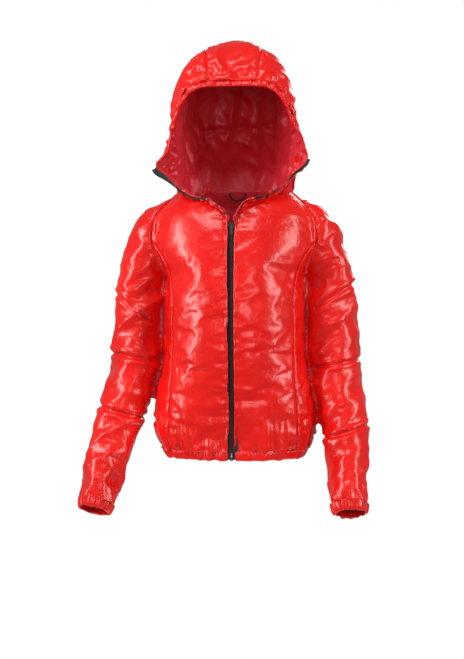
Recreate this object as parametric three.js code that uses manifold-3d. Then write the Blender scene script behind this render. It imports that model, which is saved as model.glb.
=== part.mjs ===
// Hooded padded jacket with a full front zip, raglan sleeves and an open hood.
// Millimetres, +Z up, front faces -Y, the wearer's left is +X.
// Origin: middle of the neck opening, level with the nape seam.
import * as THREE from 'three';
import { mergeVertices } from 'three/addons/utils/BufferGeometryUtils.js';
import Module from 'manifold-3d';

const wasm = await Module();
wasm.setup();

// ---------- driving sizes ----------
const BODY_LENGTH = 612;        // nape seam to the lower edge of the hem
const SLEEVE_REACH = 640;       // shoulder point down to the cuff rim, measured straight down
const HOOD_HEIGHT = 338;        // nape seam to the top of the hood
const BRIM_HEIGHT = 217;        // nape seam to the middle of the hood's front edge
const CHEST_HALF = 156;         // half width of the body at the armpits
const HIP_HALF = 185;           // half width of the body at its widest, above the hem
const HEM_HALF = 157;           // half width at the gathered hem edge
const FRONT_DEPTH = 118;        // from the side line forward to the zip
const BACK_DEPTH = 118;         // from the side line back to the middle of the back
const NECK_HALF = 134;          // half width of the neck seam
const SHOULDER_OUT = 185;       // shoulder point, out from the middle
const SHOULDER_DROP = 85;       // shoulder point, below the nape seam
const ARMPIT_DROP = 196;        // armpit, below the nape seam
const UPPER_ARM_HALF = 58;      // half width of the sleeve at the upper arm
const CUFF_HALF = 37;           // half width of the sleeve at the cuff rim
const CUFF_OUT_LEFT = 32;        // how far each cuff swings out past the straight arm line
const CUFF_OUT_RIGHT = 79;
const FOREARM_FORWARD = 112;    // how far the cuff stands in front of the shoulder

const FABRIC = 1.2;             // shell cloth
const WADDING = 3.4;            // padding between shell and lining
const LINING = 1.0;
const GAP = 0.3;                // air left between pieces that touch
const SEAM = 0.3;               // width of the cut between neighbouring panels

const HEM_DEEP = 18;            // depth of the elastic casings
const CUFF_DEEP = 20;
const BRIM_DEEP = 15;
const ELASTIC = 1.4;

const ZIP_TOP_DROP = 87;        // zip opening point, below the nape seam
const PLACKET = 6.2;            // half width left open for the zip between the front edges
const TAPE_OUT = 14;            // outer edge of the zip tape
const TAPE_THICK = 0.8;
const CHAIN_IN = 0.7;           // inner edge of each half of the chain
const CHAIN_WIDE = 2.6;
const CHAIN_THICK = 3.4;
const SLIDER_WIDE = 12;
const SLIDER_TALL = 15;
const SLIDER_PLATE = 1.6;
const SLIDER_BRIDGE = 0.8;
const CLEAR_HALF = 16;          // padding and lining stop this far from the middle
const SLEEVE_CUT = 122;         // radius, about the shoulder, where the sleeve leaves its cap
const SWING_GAP = 0.6;

const AROUND_BODY = 16;
const AROUND_SLEEVE = 8;
const HOOD_STEPS = 8;

// depth of each layer below the outer surface
const WADDING_AT = FABRIC + GAP;
const LINING_AT = WADDING_AT + WADDING + GAP;
const INSIDE_AT = LINING_AT + LINING;

// ---------- solids ----------
function solid(geometry) {
  const g = geometry.clone();
  g.deleteAttribute('normal');
  g.deleteAttribute('uv');
  const m = mergeVertices(g, 1e-5);
  return new wasm.Manifold(new wasm.Mesh({
    numProp: 3,
    vertProperties: Float32Array.from(m.attributes.position.array),
    triVerts: Uint32Array.from(m.index.array),
  }));
}

function solidFromFaces(points, faces) {
  const g = new THREE.BufferGeometry();
  g.setAttribute('position', new THREE.Float32BufferAttribute(points.flatMap((p) => [p.x, p.y, p.z]), 3));
  g.setIndex(faces.flat());
  const s = solid(g);
  return s.volume() < 0 ? solidFromFaces(points, faces.map(([a, b, c]) => [a, c, b])) : s;
}

const v = (x, y, z) => new THREE.Vector3(x, y, z);
const mix = (a, b, t) => a + (b - a) * t;

// Value at x on a smooth line through [x, value] pairs, written low to high.
function along(pairs, x) {
  if (x <= pairs[0][0]) return pairs[0][1];
  const last = pairs.length - 1;
  if (x >= pairs[last][0]) return pairs[last][1];
  const i = pairs.findIndex((p) => p[0] > x) - 1;
  const t = (x - pairs[i][0]) / (pairs[i + 1][0] - pairs[i][0]);
  const slope = (k) => {
    const a = pairs[Math.max(k - 1, 0)];
    const b = pairs[Math.min(k + 1, last)];
    return (b[1] - a[1]) / (b[0] - a[0]);
  };
  const span = pairs[i + 1][0] - pairs[i][0];
  const [t2, t3] = [t * t, t * t * t];
  return (2 * t3 - 3 * t2 + 1) * pairs[i][1] + (t3 - 2 * t2 + t) * span * slope(i)
    + (3 * t2 - 2 * t3) * pairs[i + 1][1] + (t3 - t2) * span * slope(i + 1);
}

// Unit normals of a grid of rows, pointing away from inside(row).
function gridNormals(rows, closed, inside) {
  return rows.map((row, j) => row.map((p, i) => {
    const n = row.length;
    const left = closed ? row[(i + n - 1) % n] : row[Math.max(i - 1, 0)];
    const right = closed ? row[(i + 1) % n] : row[Math.min(i + 1, n - 1)];
    const up = rows[Math.min(j + 1, rows.length - 1)][i];
    const down = rows[Math.max(j - 1, 0)][i];
    const normal = right.clone().sub(left).cross(up.clone().sub(down)).normalize();
    return normal.dot(p.clone().sub(inside(j))) < 0 ? normal.negate() : normal;
  }));
}

const middle = (row) => row.reduce((s, p) => s.add(p), v(0, 0, 0)).divideScalar(row.length);

// Closed tube through the rings, depth below its own surface, each end lengthened by reach.
function tube(rings, depth, reach) {
  const centres = rings.map(middle);
  const normals = gridNormals(rings, true, (j) => centres[j]);
  const sunk = rings.map((ring, j) => ring.map((p, i) => p.clone().addScaledVector(normals[j][i], -depth)));
  const last = rings.length - 1;
  if (reach > 0) {
    const before = centres[0].clone().sub(centres[1]).setLength(reach);
    const beyond = centres[last].clone().sub(centres[last - 1]).setLength(reach);
    sunk.unshift(sunk[0].map((p) => p.clone().add(before)));
    sunk.push(sunk[sunk.length - 1].map((p) => p.clone().add(beyond)));
  }
  const n = rings[0].length;
  const points = sunk.flat();
  const faces = [];
  for (let j = 0; j < sunk.length - 1; j += 1) {
    for (let i = 0; i < n; i += 1) {
      const [a, b] = [j * n + i, j * n + (i + 1) % n];
      faces.push([a, b, b + n], [a, b + n, a + n]);
    }
  }
  const first = points.push(middle(sunk[0])) - 1;
  const end = points.push(middle(sunk[sunk.length - 1])) - 1;
  const base = (sunk.length - 1) * n;
  for (let i = 0; i < n; i += 1) {
    const k = (i + 1) % n;
    faces.push([first, k, i], [end, base + i, base + k]);
  }
  return solidFromFaces(points, faces);
}

// A bar of rectangular section along a list of {at, wide, deep} frames: half sizes along two vectors.
function bar(frames) {
  const rings = frames.map((f) => [[-1, -1], [1, -1], [1, 1], [-1, 1]].map(([a, b]) => f.at.clone()
    .addScaledVector(f.wide, a).addScaledVector(f.deep, b)));
  const points = rings.flat();
  const faces = [[0, 2, 1], [0, 3, 2]];
  for (let j = 0; j < rings.length - 1; j += 1) {
    for (let i = 0; i < 4; i += 1) {
      const [a, b] = [j * 4 + i, j * 4 + (i + 1) % 4];
      // Opposite sides are split along the same diagonal: a thin strip keeps its thickness where it twists.
      if (i < 2) faces.push([a, b, b + 4], [a, b + 4, a + 4]);
      else faces.push([a, b, a + 4], [b, b + 4, a + 4]);
    }
  }
  const e = (rings.length - 1) * 4;
  faces.push([e, e + 1, e + 2], [e, e + 2, e + 3]);
  return solidFromFaces(points, faces);
}

function box(x0, x1, y0, y1, z0, z1) {
  const g = new THREE.BoxGeometry(x1 - x0, y1 - y0, z1 - z0);
  g.translate((x0 + x1) / 2, (y0 + y1) / 2, (z0 + z1) / 2);
  return solid(g);
}

// Outline in the XZ plane pushed through from y0 to y1.
function slabXZ(outline, y0, y1) {
  const shape = new THREE.Shape(outline.map(([x, z]) => new THREE.Vector2(x, z)));
  const g = new THREE.ExtrudeGeometry(shape, { depth: y1 - y0, bevelEnabled: false, steps: 1 });
  g.rotateX(Math.PI / 2);
  g.translate(0, y1, 0);
  return solid(g);
}

// Thin blade that follows a line in the XZ plane.
function blade(line, y0, y1) {
  const side = (s) => line.map(([x, z], i) => {
    const a = line[Math.max(i - 1, 0)];
    const b = line[Math.min(i + 1, line.length - 1)];
    const len = Math.hypot(b[0] - a[0], b[1] - a[1]);
    return [x - s * (b[1] - a[1]) / len, z + s * (b[0] - a[0]) / len];
  });
  return slabXZ([...side(SEAM / 2), ...side(-SEAM / 2).reverse()], y0, y1);
}

const joinAll = (list) => list.reduce((a, b) => a.add(b));
const FAR = 900;
const mirrored = (line) => line.map(([x, z]) => [-x, z]);

// ---------- body ----------
const HEM_Z = -BODY_LENGTH;
const HEM_SEAM_Z = HEM_Z + HEM_DEEP;
const bodyHalf = [[HEM_Z, HEM_HALF], [HEM_SEAM_Z, HEM_HALF + 10], [HEM_Z + 45, HIP_HALF - 5],
  [HEM_Z + 100, HIP_HALF], [HEM_Z + 212, CHEST_HALF + 6],
  [-ARMPIT_DROP - 60, CHEST_HALF + 1], [-ARMPIT_DROP, CHEST_HALF], [51 - ARMPIT_DROP, SHOULDER_OUT],
  [-ZIP_TOP_DROP, SHOULDER_OUT + 3],
  [-60, SHOULDER_OUT - 4], [-30, NECK_HALF + 24], [-6, NECK_HALF], [14, NECK_HALF - 16]];
const bodyFront = [[-ZIP_TOP_DROP, FRONT_DEPTH], [-60, FRONT_DEPTH - 15],
  [-30, FRONT_DEPTH - 36], [-6, FRONT_DEPTH - 52], [14, FRONT_DEPTH - 60]];
const bodyBack = [[HEM_Z, BACK_DEPTH - 2], [HEM_Z + 90, BACK_DEPTH + 8], [HEM_Z + 212, BACK_DEPTH - 12],
  [-280, BACK_DEPTH - 8], [-150, BACK_DEPTH - 8], [-100, BACK_DEPTH - 16], [-60, BACK_DEPTH - 26],
  [-30, BACK_DEPTH - 36], [-6, BACK_DEPTH - 46], [14, BACK_DEPTH - 50]];

function bodyPoint(turn, z) {
  const [c, s] = [Math.cos(turn), Math.sin(turn)];
  const round = 2 / 2.4;
  const x = along(bodyHalf, z) * Math.sign(c) * Math.abs(c) ** round;
  const depth = s > 0 ? along(bodyBack, z) : along(bodyFront, z);
  return v(x, depth * Math.sign(s) * Math.abs(s) ** round, z);
}

const bodyLevels = [HEM_Z, HEM_SEAM_Z, ...bodyHalf.slice(2).map((p) => p[0])];
const bodyTurns = Array.from({ length: AROUND_BODY }, (_, i) => (i + 0.5) * 2 * Math.PI / AROUND_BODY);
const bodyRings = bodyLevels.map((z) => bodyTurns.map((turn) => bodyPoint(turn, z)));

// ---------- sleeves ----------
const sleeveSides = { left: { sign: 1, out: CUFF_OUT_LEFT }, right: { sign: -1, out: CUFF_OUT_RIGHT } };
// Distances down the sleeve are written for a reach of SLEEVE_DRAWN and follow SLEEVE_REACH.
const SLEEVE_DRAWN = 640;
const downSleeve = (line) => line.map(([down, value]) => [down * SLEEVE_REACH / SLEEVE_DRAWN, value]);
const armRoom = downSleeve([[0, 0], [60, 16], [115, 30], [171, 34], [241, 38], [331, 42], [437, 50],
  [SLEEVE_DRAWN, 44]]);
const swingOut = downSleeve([[115, 0], [241, 0.03], [331, 0.11], [396, 0.24], [465, 0.45], [545, 0.72],
  [SLEEVE_DRAWN, 1]]);
const sleeveHalf = [[-60, 34], [-20, 44], [30, 50],
  ...downSleeve([[80, UPPER_ARM_HALF - 5], [150, UPPER_ARM_HALF - 2], [320, UPPER_ARM_HALF],
    [430, UPPER_ARM_HALF - 5], [550, CUFF_HALF + 12]]),
  [SLEEVE_REACH - CUFF_DEEP, CUFF_HALF + 5], [SLEEVE_REACH, CUFF_HALF]];
const sleeveForward = downSleeve([[200, 0], [300, 4], [390, 16], [470, 40], [550, 70],
  [SLEEVE_DRAWN, FOREARM_FORWARD]]);

// Middle line of a sleeve, down from the shoulder point.
function sleeveMiddle(side, down) {
  const out = down < 0 ? down * 1.35 : along(armRoom, down) + side.out * along(swingOut, down);
  const drop = down < 0 ? down * 0.75 : down;
  return v(side.sign * (SHOULDER_OUT + out), -along(sleeveForward, down), -SHOULDER_DROP - drop);
}

const sleeveWay = (side, down) => sleeveMiddle(side, Math.min(down + 12, SLEEVE_REACH))
  .sub(sleeveMiddle(side, down - 12)).normalize();

function sleeveRings(side) {
  return sleeveHalf.map(([down, half]) => {
    const at = sleeveMiddle(side, down);
    const way = sleeveWay(side, down);
    const across = v(0, 1, 0).cross(way).normalize();
    const fore = way.clone().cross(across).normalize();
    const depth = half * (down < 60 ? 1.25 : 1.05);
    return Array.from({ length: AROUND_SLEEVE }, (_, i) => {
      const a = (i + 0.5) * 2 * Math.PI / AROUND_SLEEVE;
      return at.clone().addScaledVector(across, half * Math.cos(a))
        .addScaledVector(fore, depth * Math.sin(a));
    });
  });
}

// ---------- hood ----------
// Arches from the brim over the head to the nape: foot on the neck line and top as [y, z],
// half width between the feet, and how far the sides swell.
const hoodArches = [
  { foot: [-38, -16], top: [-108, BRIM_HEIGHT], wide: 116, swell: 34 },
  { foot: [-27, -13], top: [-72, HOOD_HEIGHT - 38], wide: 125, swell: 34 },
  { foot: [-8, -10], top: [-5, HOOD_HEIGHT], wide: 131, swell: 32 },
  { foot: [10, -7], top: [58, HOOD_HEIGHT - 16], wide: 129, swell: 28 },
  { foot: [28, -4], top: [104, HOOD_HEIGHT - 76], wide: 118, swell: 22 },
  { foot: [46, -2], top: [120, HOOD_HEIGHT - 190], wide: 96, swell: 14 },
  { foot: [62, 1], top: [76, 22], wide: 56, swell: 4 },
];
const hoodRows = hoodArches.map((arch) => Array.from({ length: HOOD_STEPS + 1 }, (_, i) => {
  const a = Math.PI * i / HOOD_STEPS;
  const rise = Math.sin(a) ** (2 / 2.9);
  const cos = Math.cos(a);
  const x = Math.sign(cos) * Math.abs(cos) ** (2 / 2.9) * (arch.wide + 4 * arch.swell * rise * (1 - rise));
  return v(x, mix(arch.foot[0], arch.top[0], rise), mix(arch.foot[1], arch.top[1], rise));
}));

function hoodVolume(depth, reach) {
  const heart = v(0, -10, 40);
  const normals = gridNormals(hoodRows, false, () => heart);
  const rows = hoodRows.map((row, j) => row.map((p, i) => p.clone()
    .addScaledVector(normals[j][i], -depth)));
  if (reach > 0) {
    rows.unshift(rows[0].map((p, i) => p.clone().add(p.clone().sub(rows[1][i]).setLength(reach))));
  }
  const n = HOOD_STEPS + 1;
  const points = rows.flat();
  const faces = [];
  for (let j = 0; j < rows.length - 1; j += 1) {
    for (let i = 0; i < n - 1; i += 1) {
      const a = j * n + i;
      faces.push([a, a + 1, a + n + 1], [a, a + n + 1, a + n]);
    }
  }
  const last = (rows.length - 1) * n;
  const loop = [...Array.from({ length: n }, (_, i) => i),
    ...Array.from({ length: rows.length - 2 }, (_, j) => (j + 1) * n + n - 1),
    ...Array.from({ length: n }, (_, i) => last + n - 1 - i),
    ...Array.from({ length: rows.length - 2 }, (_, j) => last - (j + 1) * n)];
  const root = points.push(v(0, -20 - reach, -45 - reach)) - 1;
  loop.forEach((a, k) => faces.push([root, loop[(k + 1) % loop.length], a]));
  return solidFromFaces(points, faces);
}

// ---------- the whole garment as nested volumes ----------
const rings = { left: sleeveRings(sleeveSides.left), right: sleeveRings(sleeveSides.right) };
const OPEN = 12;
function garment(depth) {
  const reach = depth > 0 ? OPEN : 0;
  return joinAll([tube(bodyRings, depth, reach), tube(rings.left, depth, reach),
    tube(rings.right, depth, reach), hoodVolume(depth, reach)]);
}
const outside = garment(0);
const layer = (from, to) => (from === 0 ? outside : garment(from)).subtract(garment(to));
const cloth = layer(0, FABRIC);
const padding = layer(WADDING_AT, WADDING_AT + WADDING);
const lining = layer(LINING_AT, INSIDE_AT);

// ---------- regions that the seams enclose ----------
const ARMHOLE_LINE = [[NECK_HALF - 16, 16], [NECK_HALF - 8, -5], [SHOULDER_OUT - 10, -57],
  [SHOULDER_OUT, -100], [SHOULDER_OUT - 1, -127], [CHEST_HALF + 10, 32 - ARMPIT_DROP],
  [CHEST_HALF + 0.5, -ARMPIT_DROP]];
const SIDE_GAP_LINE = [[CHEST_HALF + 2.2, -ARMPIT_DROP - 60], [CHEST_HALF + 7, HEM_Z + 212],
  [HIP_HALF + 1, HEM_Z + 100], [HIP_HALF + 1, HEM_Z - 300]];
const armLine = (shift) => [...ARMHOLE_LINE, ...SIDE_GAP_LINE].map(([x, z]) => [x + shift, z]);
const armRegion = (shift) => slabXZ([...armLine(shift), [FAR, HEM_Z - 300], [FAR, 40]], -FAR, FAR);
const mirrorX = (s) => s.mirror([1, 0, 0]);
const armSolid = { left: armRegion(SEAM / 2), right: mirrorX(armRegion(SEAM / 2)) };
const armKeepOut = joinAll([armRegion(-SEAM / 2), mirrorX(armRegion(-SEAM / 2))]);

// Everything above the sloping neck seam; lift moves the seam up.
const NECK_SLOPE = 0.17;
const NECK_SEAM_Z = -4;
function aboveNeck(lift) {
  const g = new THREE.BoxGeometry(2 * FAR, 2 * FAR, FAR);
  g.translate(0, 0, FAR / 2);
  g.rotateX(Math.atan(NECK_SLOPE));
  g.translate(0, 0, NECK_SEAM_Z + lift);
  return solid(g);
}
const hoodSolid = aboveNeck(SEAM / 2);
const hoodKeepOut = aboveNeck(-SEAM / 2);

// Hood within deep of the brim's plane.
const [brimFoot, brimTop] = [hoodArches[0].foot, hoodArches[0].top];
function nearBrim(from, to) {
  const tilt = Math.atan2(brimTop[0] - brimFoot[0], brimTop[1] - brimFoot[1]);
  const g = new THREE.BoxGeometry(2 * FAR, to - from, 2 * FAR);
  g.translate(0, (from + to) / 2, 0);
  g.rotateX(-tilt);
  g.translate(0, brimFoot[0], brimFoot[1]);
  return solid(g);
}

// Sleeve between two distances back from the cuff rim, measured along its end.
function nearCuff(side, from, to) {
  const end = sleeveMiddle(side, SLEEVE_REACH);
  const way = sleeveWay(side, SLEEVE_REACH).negate();
  const reach = 2 * UPPER_ARM_HALF + 14;
  const g = new THREE.CylinderGeometry(reach, reach, to - from, 12);
  g.translate(0, (from + to) / 2, 0);
  g.applyQuaternion(new THREE.Quaternion().setFromUnitVectors(v(0, 1, 0), way));
  g.translate(end.x, end.y, end.z);
  return solid(g);
}

function shoulderDrum(side, radius) {
  const g = new THREE.CylinderGeometry(radius, radius, 2 * FAR, 48);
  g.translate(side.sign * SHOULDER_OUT, 0, -SHOULDER_DROP);
  return solid(g);
}

const belowHem = (z) => box(-FAR, FAR, -FAR, FAR, HEM_Z - FAR, z);
const aboveHem = (z) => box(-FAR, FAR, -FAR, FAR, z, FAR);

// ---------- front opening ----------
const FRONT_Y = bodyRings[0].reduce((least, p) => Math.min(least, p.y), 0);
// Half outline of the open neck, from the zip opening point out to the shoulder.
const NECK_OPENING = [[0, -ZIP_TOP_DROP], [9, -ZIP_TOP_DROP + 14], [20, 31 - ZIP_TOP_DROP],
  [40, 47 - ZIP_TOP_DROP], [66, 57 - ZIP_TOP_DROP], [NECK_HALF - 24, 70 - ZIP_TOP_DROP],
  [NECK_HALF + 30, 100 - ZIP_TOP_DROP]];
const openNeck = slabXZ([...NECK_OPENING, [NECK_HALF + 30, 60], [-NECK_HALF - 30, 60],
  ...mirrored(NECK_OPENING.slice(1)).reverse()], -FAR, 0);
const zipSlot = (half, y0) => box(-half, half, y0, 0, HEM_Z - 50, -20);

const PRINCESS_LINE = [[CHEST_HALF + 40, 80 - ARMPIT_DROP], [CHEST_HALF - 6, 19 - ARMPIT_DROP],
  [CHEST_HALF - 18, -ARMPIT_DROP - 29], [CHEST_HALF - 20, HEM_Z + 285], [CHEST_HALF - 18, HEM_Z + 187],
  [HEM_HALF - 14, HEM_Z + 46], [HEM_HALF - 17, HEM_Z - 30]];
const BACK_LINE = [[CHEST_HALF + 40, 80 - ARMPIT_DROP], [CHEST_HALF - 2, 19 - ARMPIT_DROP],
  [CHEST_HALF - 16, -ARMPIT_DROP - 34], [CHEST_HALF - 21, HEM_Z + 212], [HEM_HALF - 17, HEM_Z - 30]];
const bodyBlades = joinAll([blade(PRINCESS_LINE, -FAR, -1), blade(mirrored(PRINCESS_LINE), -FAR, -1),
  blade(BACK_LINE, 1, FAR), blade(mirrored(BACK_LINE), 1, FAR)]);
const HOOD_LINE = [[46, -40], [50, 120], [52, BRIM_HEIGHT], [62, HOOD_HEIGHT - 40], [66, HOOD_HEIGHT + 30]];
const hoodBlades = joinAll([blade(HOOD_LINE, -FAR, FAR), blade(mirrored(HOOD_LINE), -FAR, FAR)]);
const sideBlade = box(-FAR, FAR, -SEAM / 2, SEAM / 2, HEM_Z - 50, 60);

// ---------- naming and colours ----------
const paint = {
  shell: { color: 0xe0140e, roughness: 0.3, metalness: 0 },
  lining: { color: 0xa31b26, roughness: 0.4, metalness: 0 },
  padding: { color: 0xe8e4dc, roughness: 0.95, metalness: 0 },
  black: { color: 0x101416, roughness: 0.5, metalness: 0 },
  elastic: { color: 0x2a1214, roughness: 0.8, metalness: 0 },
};
const materials = Object.fromEntries(Object.entries(paint).map(([key, look]) => [key,
  new THREE.MeshStandardMaterial(look)]));
const jacket = new THREE.Group();

function add(name, shape, material) {
  const { vertProperties, triVerts, numProp } = shape.getMesh();
  const g = new THREE.BufferGeometry();
  const flat = numProp === 3 ? vertProperties : vertProperties.filter((_, i) => i % numProp < 3);
  g.setAttribute('position', new THREE.Float32BufferAttribute(flat, 3));
  g.setIndex(Array.from(triVerts));
  const mesh = new THREE.Mesh(g, materials[material]);
  mesh.name = name;
  jacket.add(mesh);
}

// The biggest piece of a cut shape whose middle passes the test.
function piece(shape, test) {
  const fits = shape.decompose().filter((s) => {
    const { min, max } = s.boundingBox();
    return test((min[0] + max[0]) / 2, (min[1] + max[1]) / 2, (min[2] + max[2]) / 2);
  });
  return fits.sort((a, b) => b.volume() - a.volume())[0];
}
const sideTests = { left: (x) => x > 1, right: (x) => x < -1 };

// ---------- body panels ----------
const bodyOf = (shape) => shape.subtract(armKeepOut).subtract(hoodKeepOut).subtract(openNeck);
const bodyCloth = bodyOf(cloth).subtract(zipSlot(PLACKET, -FAR)).intersect(aboveHem(HEM_SEAM_Z + SEAM / 2))
  .subtract(bodyBlades);
add('back', piece(bodyCloth, (x, y) => Math.abs(x) < 30 && y > 0), 'shell');
const bodyPad = bodyOf(padding).subtract(zipSlot(CLEAR_HALF, -FAR)).intersect(aboveHem(HEM_SEAM_Z + GAP))
  .subtract(sideBlade);
const bodyLining = bodyOf(lining).subtract(zipSlot(CLEAR_HALF, -FAR)).intersect(aboveHem(HEM_SEAM_Z + GAP))
  .subtract(sideBlade);
add('wadding_back', piece(bodyPad, (x, y) => y > 20), 'padding');
add('lining_back', piece(bodyLining, (x, y) => y > 20), 'lining');
for (const [side, test] of Object.entries(sideTests)) {
  add(`front_${side}`, piece(bodyCloth, (x, y) => test(x) && y < -40 && Math.abs(x) < 110), 'shell');
  add(`side_panel_${side}`, piece(bodyCloth, (x) => test(x) && Math.abs(x) > 115), 'shell');
  add(`wadding_front_${side}`, piece(bodyPad, (x, y) => test(x) && y < -20), 'padding');
  add(`lining_front_${side}`, piece(bodyLining, (x, y) => test(x) && y < -20), 'lining');
}

// ---------- sleeves ----------
for (const [name, side] of Object.entries(sleeveSides)) {
  const arm = armSolid[name].subtract(hoodKeepOut).subtract(openNeck);
  const cap = shoulderDrum(side, SLEEVE_CUT);
  const hang = shoulderDrum(side, SLEEVE_CUT + SWING_GAP);
  const cuff = nearCuff(side, -60, CUFF_DEEP + SEAM / 2);
  const inner = nearCuff(side, -60, CUFF_DEEP + GAP);
  const layers = [['', cloth, 'shell', cuff], ['wadding_', padding, 'padding', inner],
    ['lining_', lining, 'lining', inner]];
  for (const [prefix, shape, material, end] of layers) {
    const whole = shape.intersect(arm);
    const top = piece(whole.intersect(cap), (x, y, z) => z > -ARMPIT_DROP);
    const tubeOfArm = piece(whole.subtract(hang).subtract(end), (x, y, z) => z < -ARMPIT_DROP - 54);
    add(`${prefix}sleeve_cap_${name}`, top, material);
    add(`${prefix}sleeve_${name}`, tubeOfArm, material);
  }
}

// ---------- elastic casings: a folded channel round the edge with the elastic inside ----------
function casing(region, tunnel, band) {
  const skin = outside.subtract(garment(INSIDE_AT)).intersect(region);
  const room = garment(FABRIC).subtract(garment(LINING_AT)).intersect(tunnel);
  const strap = garment(FABRIC + GAP).subtract(garment(FABRIC + GAP + ELASTIC)).intersect(band);
  return { fold: skin.subtract(room), strap };
}
const hem = casing(belowHem(HEM_SEAM_Z - SEAM / 2).subtract(armKeepOut),
  box(-FAR, FAR, -FAR, FAR, HEM_Z + FABRIC, HEM_SEAM_Z + 1),
  box(-FAR, FAR, -FAR, FAR, HEM_Z + FABRIC + GAP, HEM_SEAM_Z - 2 * GAP).subtract(armKeepOut));
const hemFront = zipSlot(PLACKET, -FAR).add(zipSlot(CLEAR_HALF, FRONT_Y + FABRIC + GAP / 2));
add('hem_casing', piece(hem.fold.subtract(hemFront), () => true), 'shell');
add('hem_elastic', piece(hem.strap.subtract(zipSlot(CLEAR_HALF + 1, -FAR)), () => true), 'elastic');
for (const [name, side] of Object.entries(sleeveSides)) {
  const cuff = casing(nearCuff(side, -60, CUFF_DEEP - SEAM / 2), nearCuff(side, FABRIC, CUFF_DEEP + 1),
    nearCuff(side, FABRIC + GAP, CUFF_DEEP - 2 * GAP));
  const onArm = armSolid[name];
  add(`cuff_casing_${name}`, piece(cuff.fold.intersect(onArm), (x, y, z) => z < -400), 'shell');
  add(`cuff_elastic_${name}`, piece(cuff.strap.intersect(onArm), (x, y, z) => z < -400), 'elastic');
}

// ---------- hood ----------
const HOOD_CLEAR = 4;             // the brim elastic ends this far above the neck seam
// The throat stays open between the two feet of the brim.
const throat = box(-NECK_HALF + 46, NECK_HALF - 46, -FAR, -20, -60, 90);
const hoodOf = (shape, lift) => shape.intersect(aboveNeck(SEAM / 2 + lift)).subtract(throat);
const hoodCloth = hoodOf(cloth, 0).subtract(nearBrim(-FAR, BRIM_DEEP + SEAM / 2)).subtract(hoodBlades);
add('hood_centre', piece(hoodCloth, (x) => Math.abs(x) < 20), 'shell');
add('hood_side_left', piece(hoodCloth, (x) => x > 40), 'shell');
add('hood_side_right', piece(hoodCloth, (x) => x < -40), 'shell');
const brimRegion = nearBrim(-FAR, BRIM_DEEP + GAP);
const behindBrim = (shape) => piece(hoodOf(shape, 0).subtract(brimRegion), () => true);
add('wadding_hood', behindBrim(padding), 'padding');
add('lining_hood', behindBrim(lining), 'lining');
const brim = casing(nearBrim(-80, BRIM_DEEP - SEAM / 2), nearBrim(FABRIC, BRIM_DEEP + 1),
  nearBrim(FABRIC + GAP, BRIM_DEEP - 2 * GAP));
add('brim_casing', piece(hoodOf(brim.fold, 0), (x, y, z) => z > 40), 'shell');
add('brim_elastic', piece(hoodOf(brim.strap, HOOD_CLEAR), (x, y, z) => z > 40), 'elastic');

// ---------- front zip ----------
const ZIP_TOP = -ZIP_TOP_DROP;
const ZIP_FOOT = HEM_Z + 1;
const STOP_TALL = 8.4;
const CHAIN_Y = [FRONT_Y - 0.6, FRONT_Y - 0.6 + CHAIN_THICK];
const TAPE_Y = [FRONT_Y + FABRIC + GAP, FRONT_Y + FABRIC + GAP + TAPE_THICK];
const CHAIN_OUT = CHAIN_IN + CHAIN_WIDE;

// Line of the opened zip edge, from the zip opening point to the collar's tip, for the +X side.
const SLIDER_TOP = ZIP_TOP + SLIDER_TALL;
const openEdge = [v(CHAIN_IN + CHAIN_WIDE / 2 + 1, FRONT_Y - 1, ZIP_TOP + 4),
  v(10, FRONT_Y - 4, SLIDER_TOP + 4), v(20, FRONT_Y + 3, 38 + ZIP_TOP), v(40, FRONT_Y + 12, 52 + ZIP_TOP),
  v(66, FRONT_Y + 25, 62 + ZIP_TOP), v(98, FRONT_Y + 42, 72 + ZIP_TOP),
  v(128, FRONT_Y + 56, 90 + ZIP_TOP), v(158, FRONT_Y + 62, 116 + ZIP_TOP)];
// Where each collar flap folds back into the neck.
const foldEdge = [v(4, FRONT_Y - 1, ZIP_TOP + 16), v(8, FRONT_Y - 3, SLIDER_TOP + 9),
  v(14, FRONT_Y + 4, 54 + ZIP_TOP), v(27, FRONT_Y + 12, 78 + ZIP_TOP), v(50, FRONT_Y + 20, 98 + ZIP_TOP),
  v(80, FRONT_Y + 30, 116 + ZIP_TOP), v(112, FRONT_Y + 38, 140 + ZIP_TOP),
  v(150, FRONT_Y + 44, 168 + ZIP_TOP)];
const FLAP_START = 2;             // the flap's cloth starts at this point of its edge
const FLAP_THICK = 3;
const FLAP_LINING_AT = 1;         // how far the lining lies behind the middle of the chain
const FLAP_GAP = 0.8;             // air between the flap's lining and its padded cloth
const FLAP_TAPE = TAPE_OUT - 3;   // width of tape that shows on the flap
const EDGE_SPACE = 3.4;
const TOP_STOP_LONG = 5;

// Frames of a strip that lies between two shares of the way from the open edge to the fold.
function flapFrames(from, to, sink, thick) {
  return openEdge.map((edge, i) => {
    const across = foldEdge[i].clone().sub(edge);
    const after = openEdge[Math.min(i + 1, openEdge.length - 1)];
    const next = after.clone().sub(openEdge[Math.max(i - 1, 0)]);
    const out = across.clone().cross(next).normalize();
    if (out.y > 0) out.negate();
    const width = across.length();
    const [a, b] = [from(width), to(width)];
    const at = edge.clone().addScaledVector(across.normalize(), (a + b) / 2);
    return {
      at: at.addScaledVector(out, -sink - thick / 2),
      wide: across.clone().multiplyScalar((b - a) / 2),
      deep: out.multiplyScalar(thick / 2),
    };
  });
}
const CHAIN_STRIP = flapFrames(() => -CHAIN_WIDE / 2, () => CHAIN_WIDE / 2, -CHAIN_THICK / 2, CHAIN_THICK);
const TAPE_STRIP = flapFrames(() => CHAIN_WIDE / 2 + GAP, () => FLAP_TAPE, -TAPE_THICK / 2, TAPE_THICK);
const straightChain = (z) => ({
  at: v(CHAIN_IN + CHAIN_WIDE / 2, (CHAIN_Y[0] + CHAIN_Y[1]) / 2, z),
  wide: v(-CHAIN_WIDE / 2, 0, 0),
  deep: v(0, -CHAIN_THICK / 2, 0),
});
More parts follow.
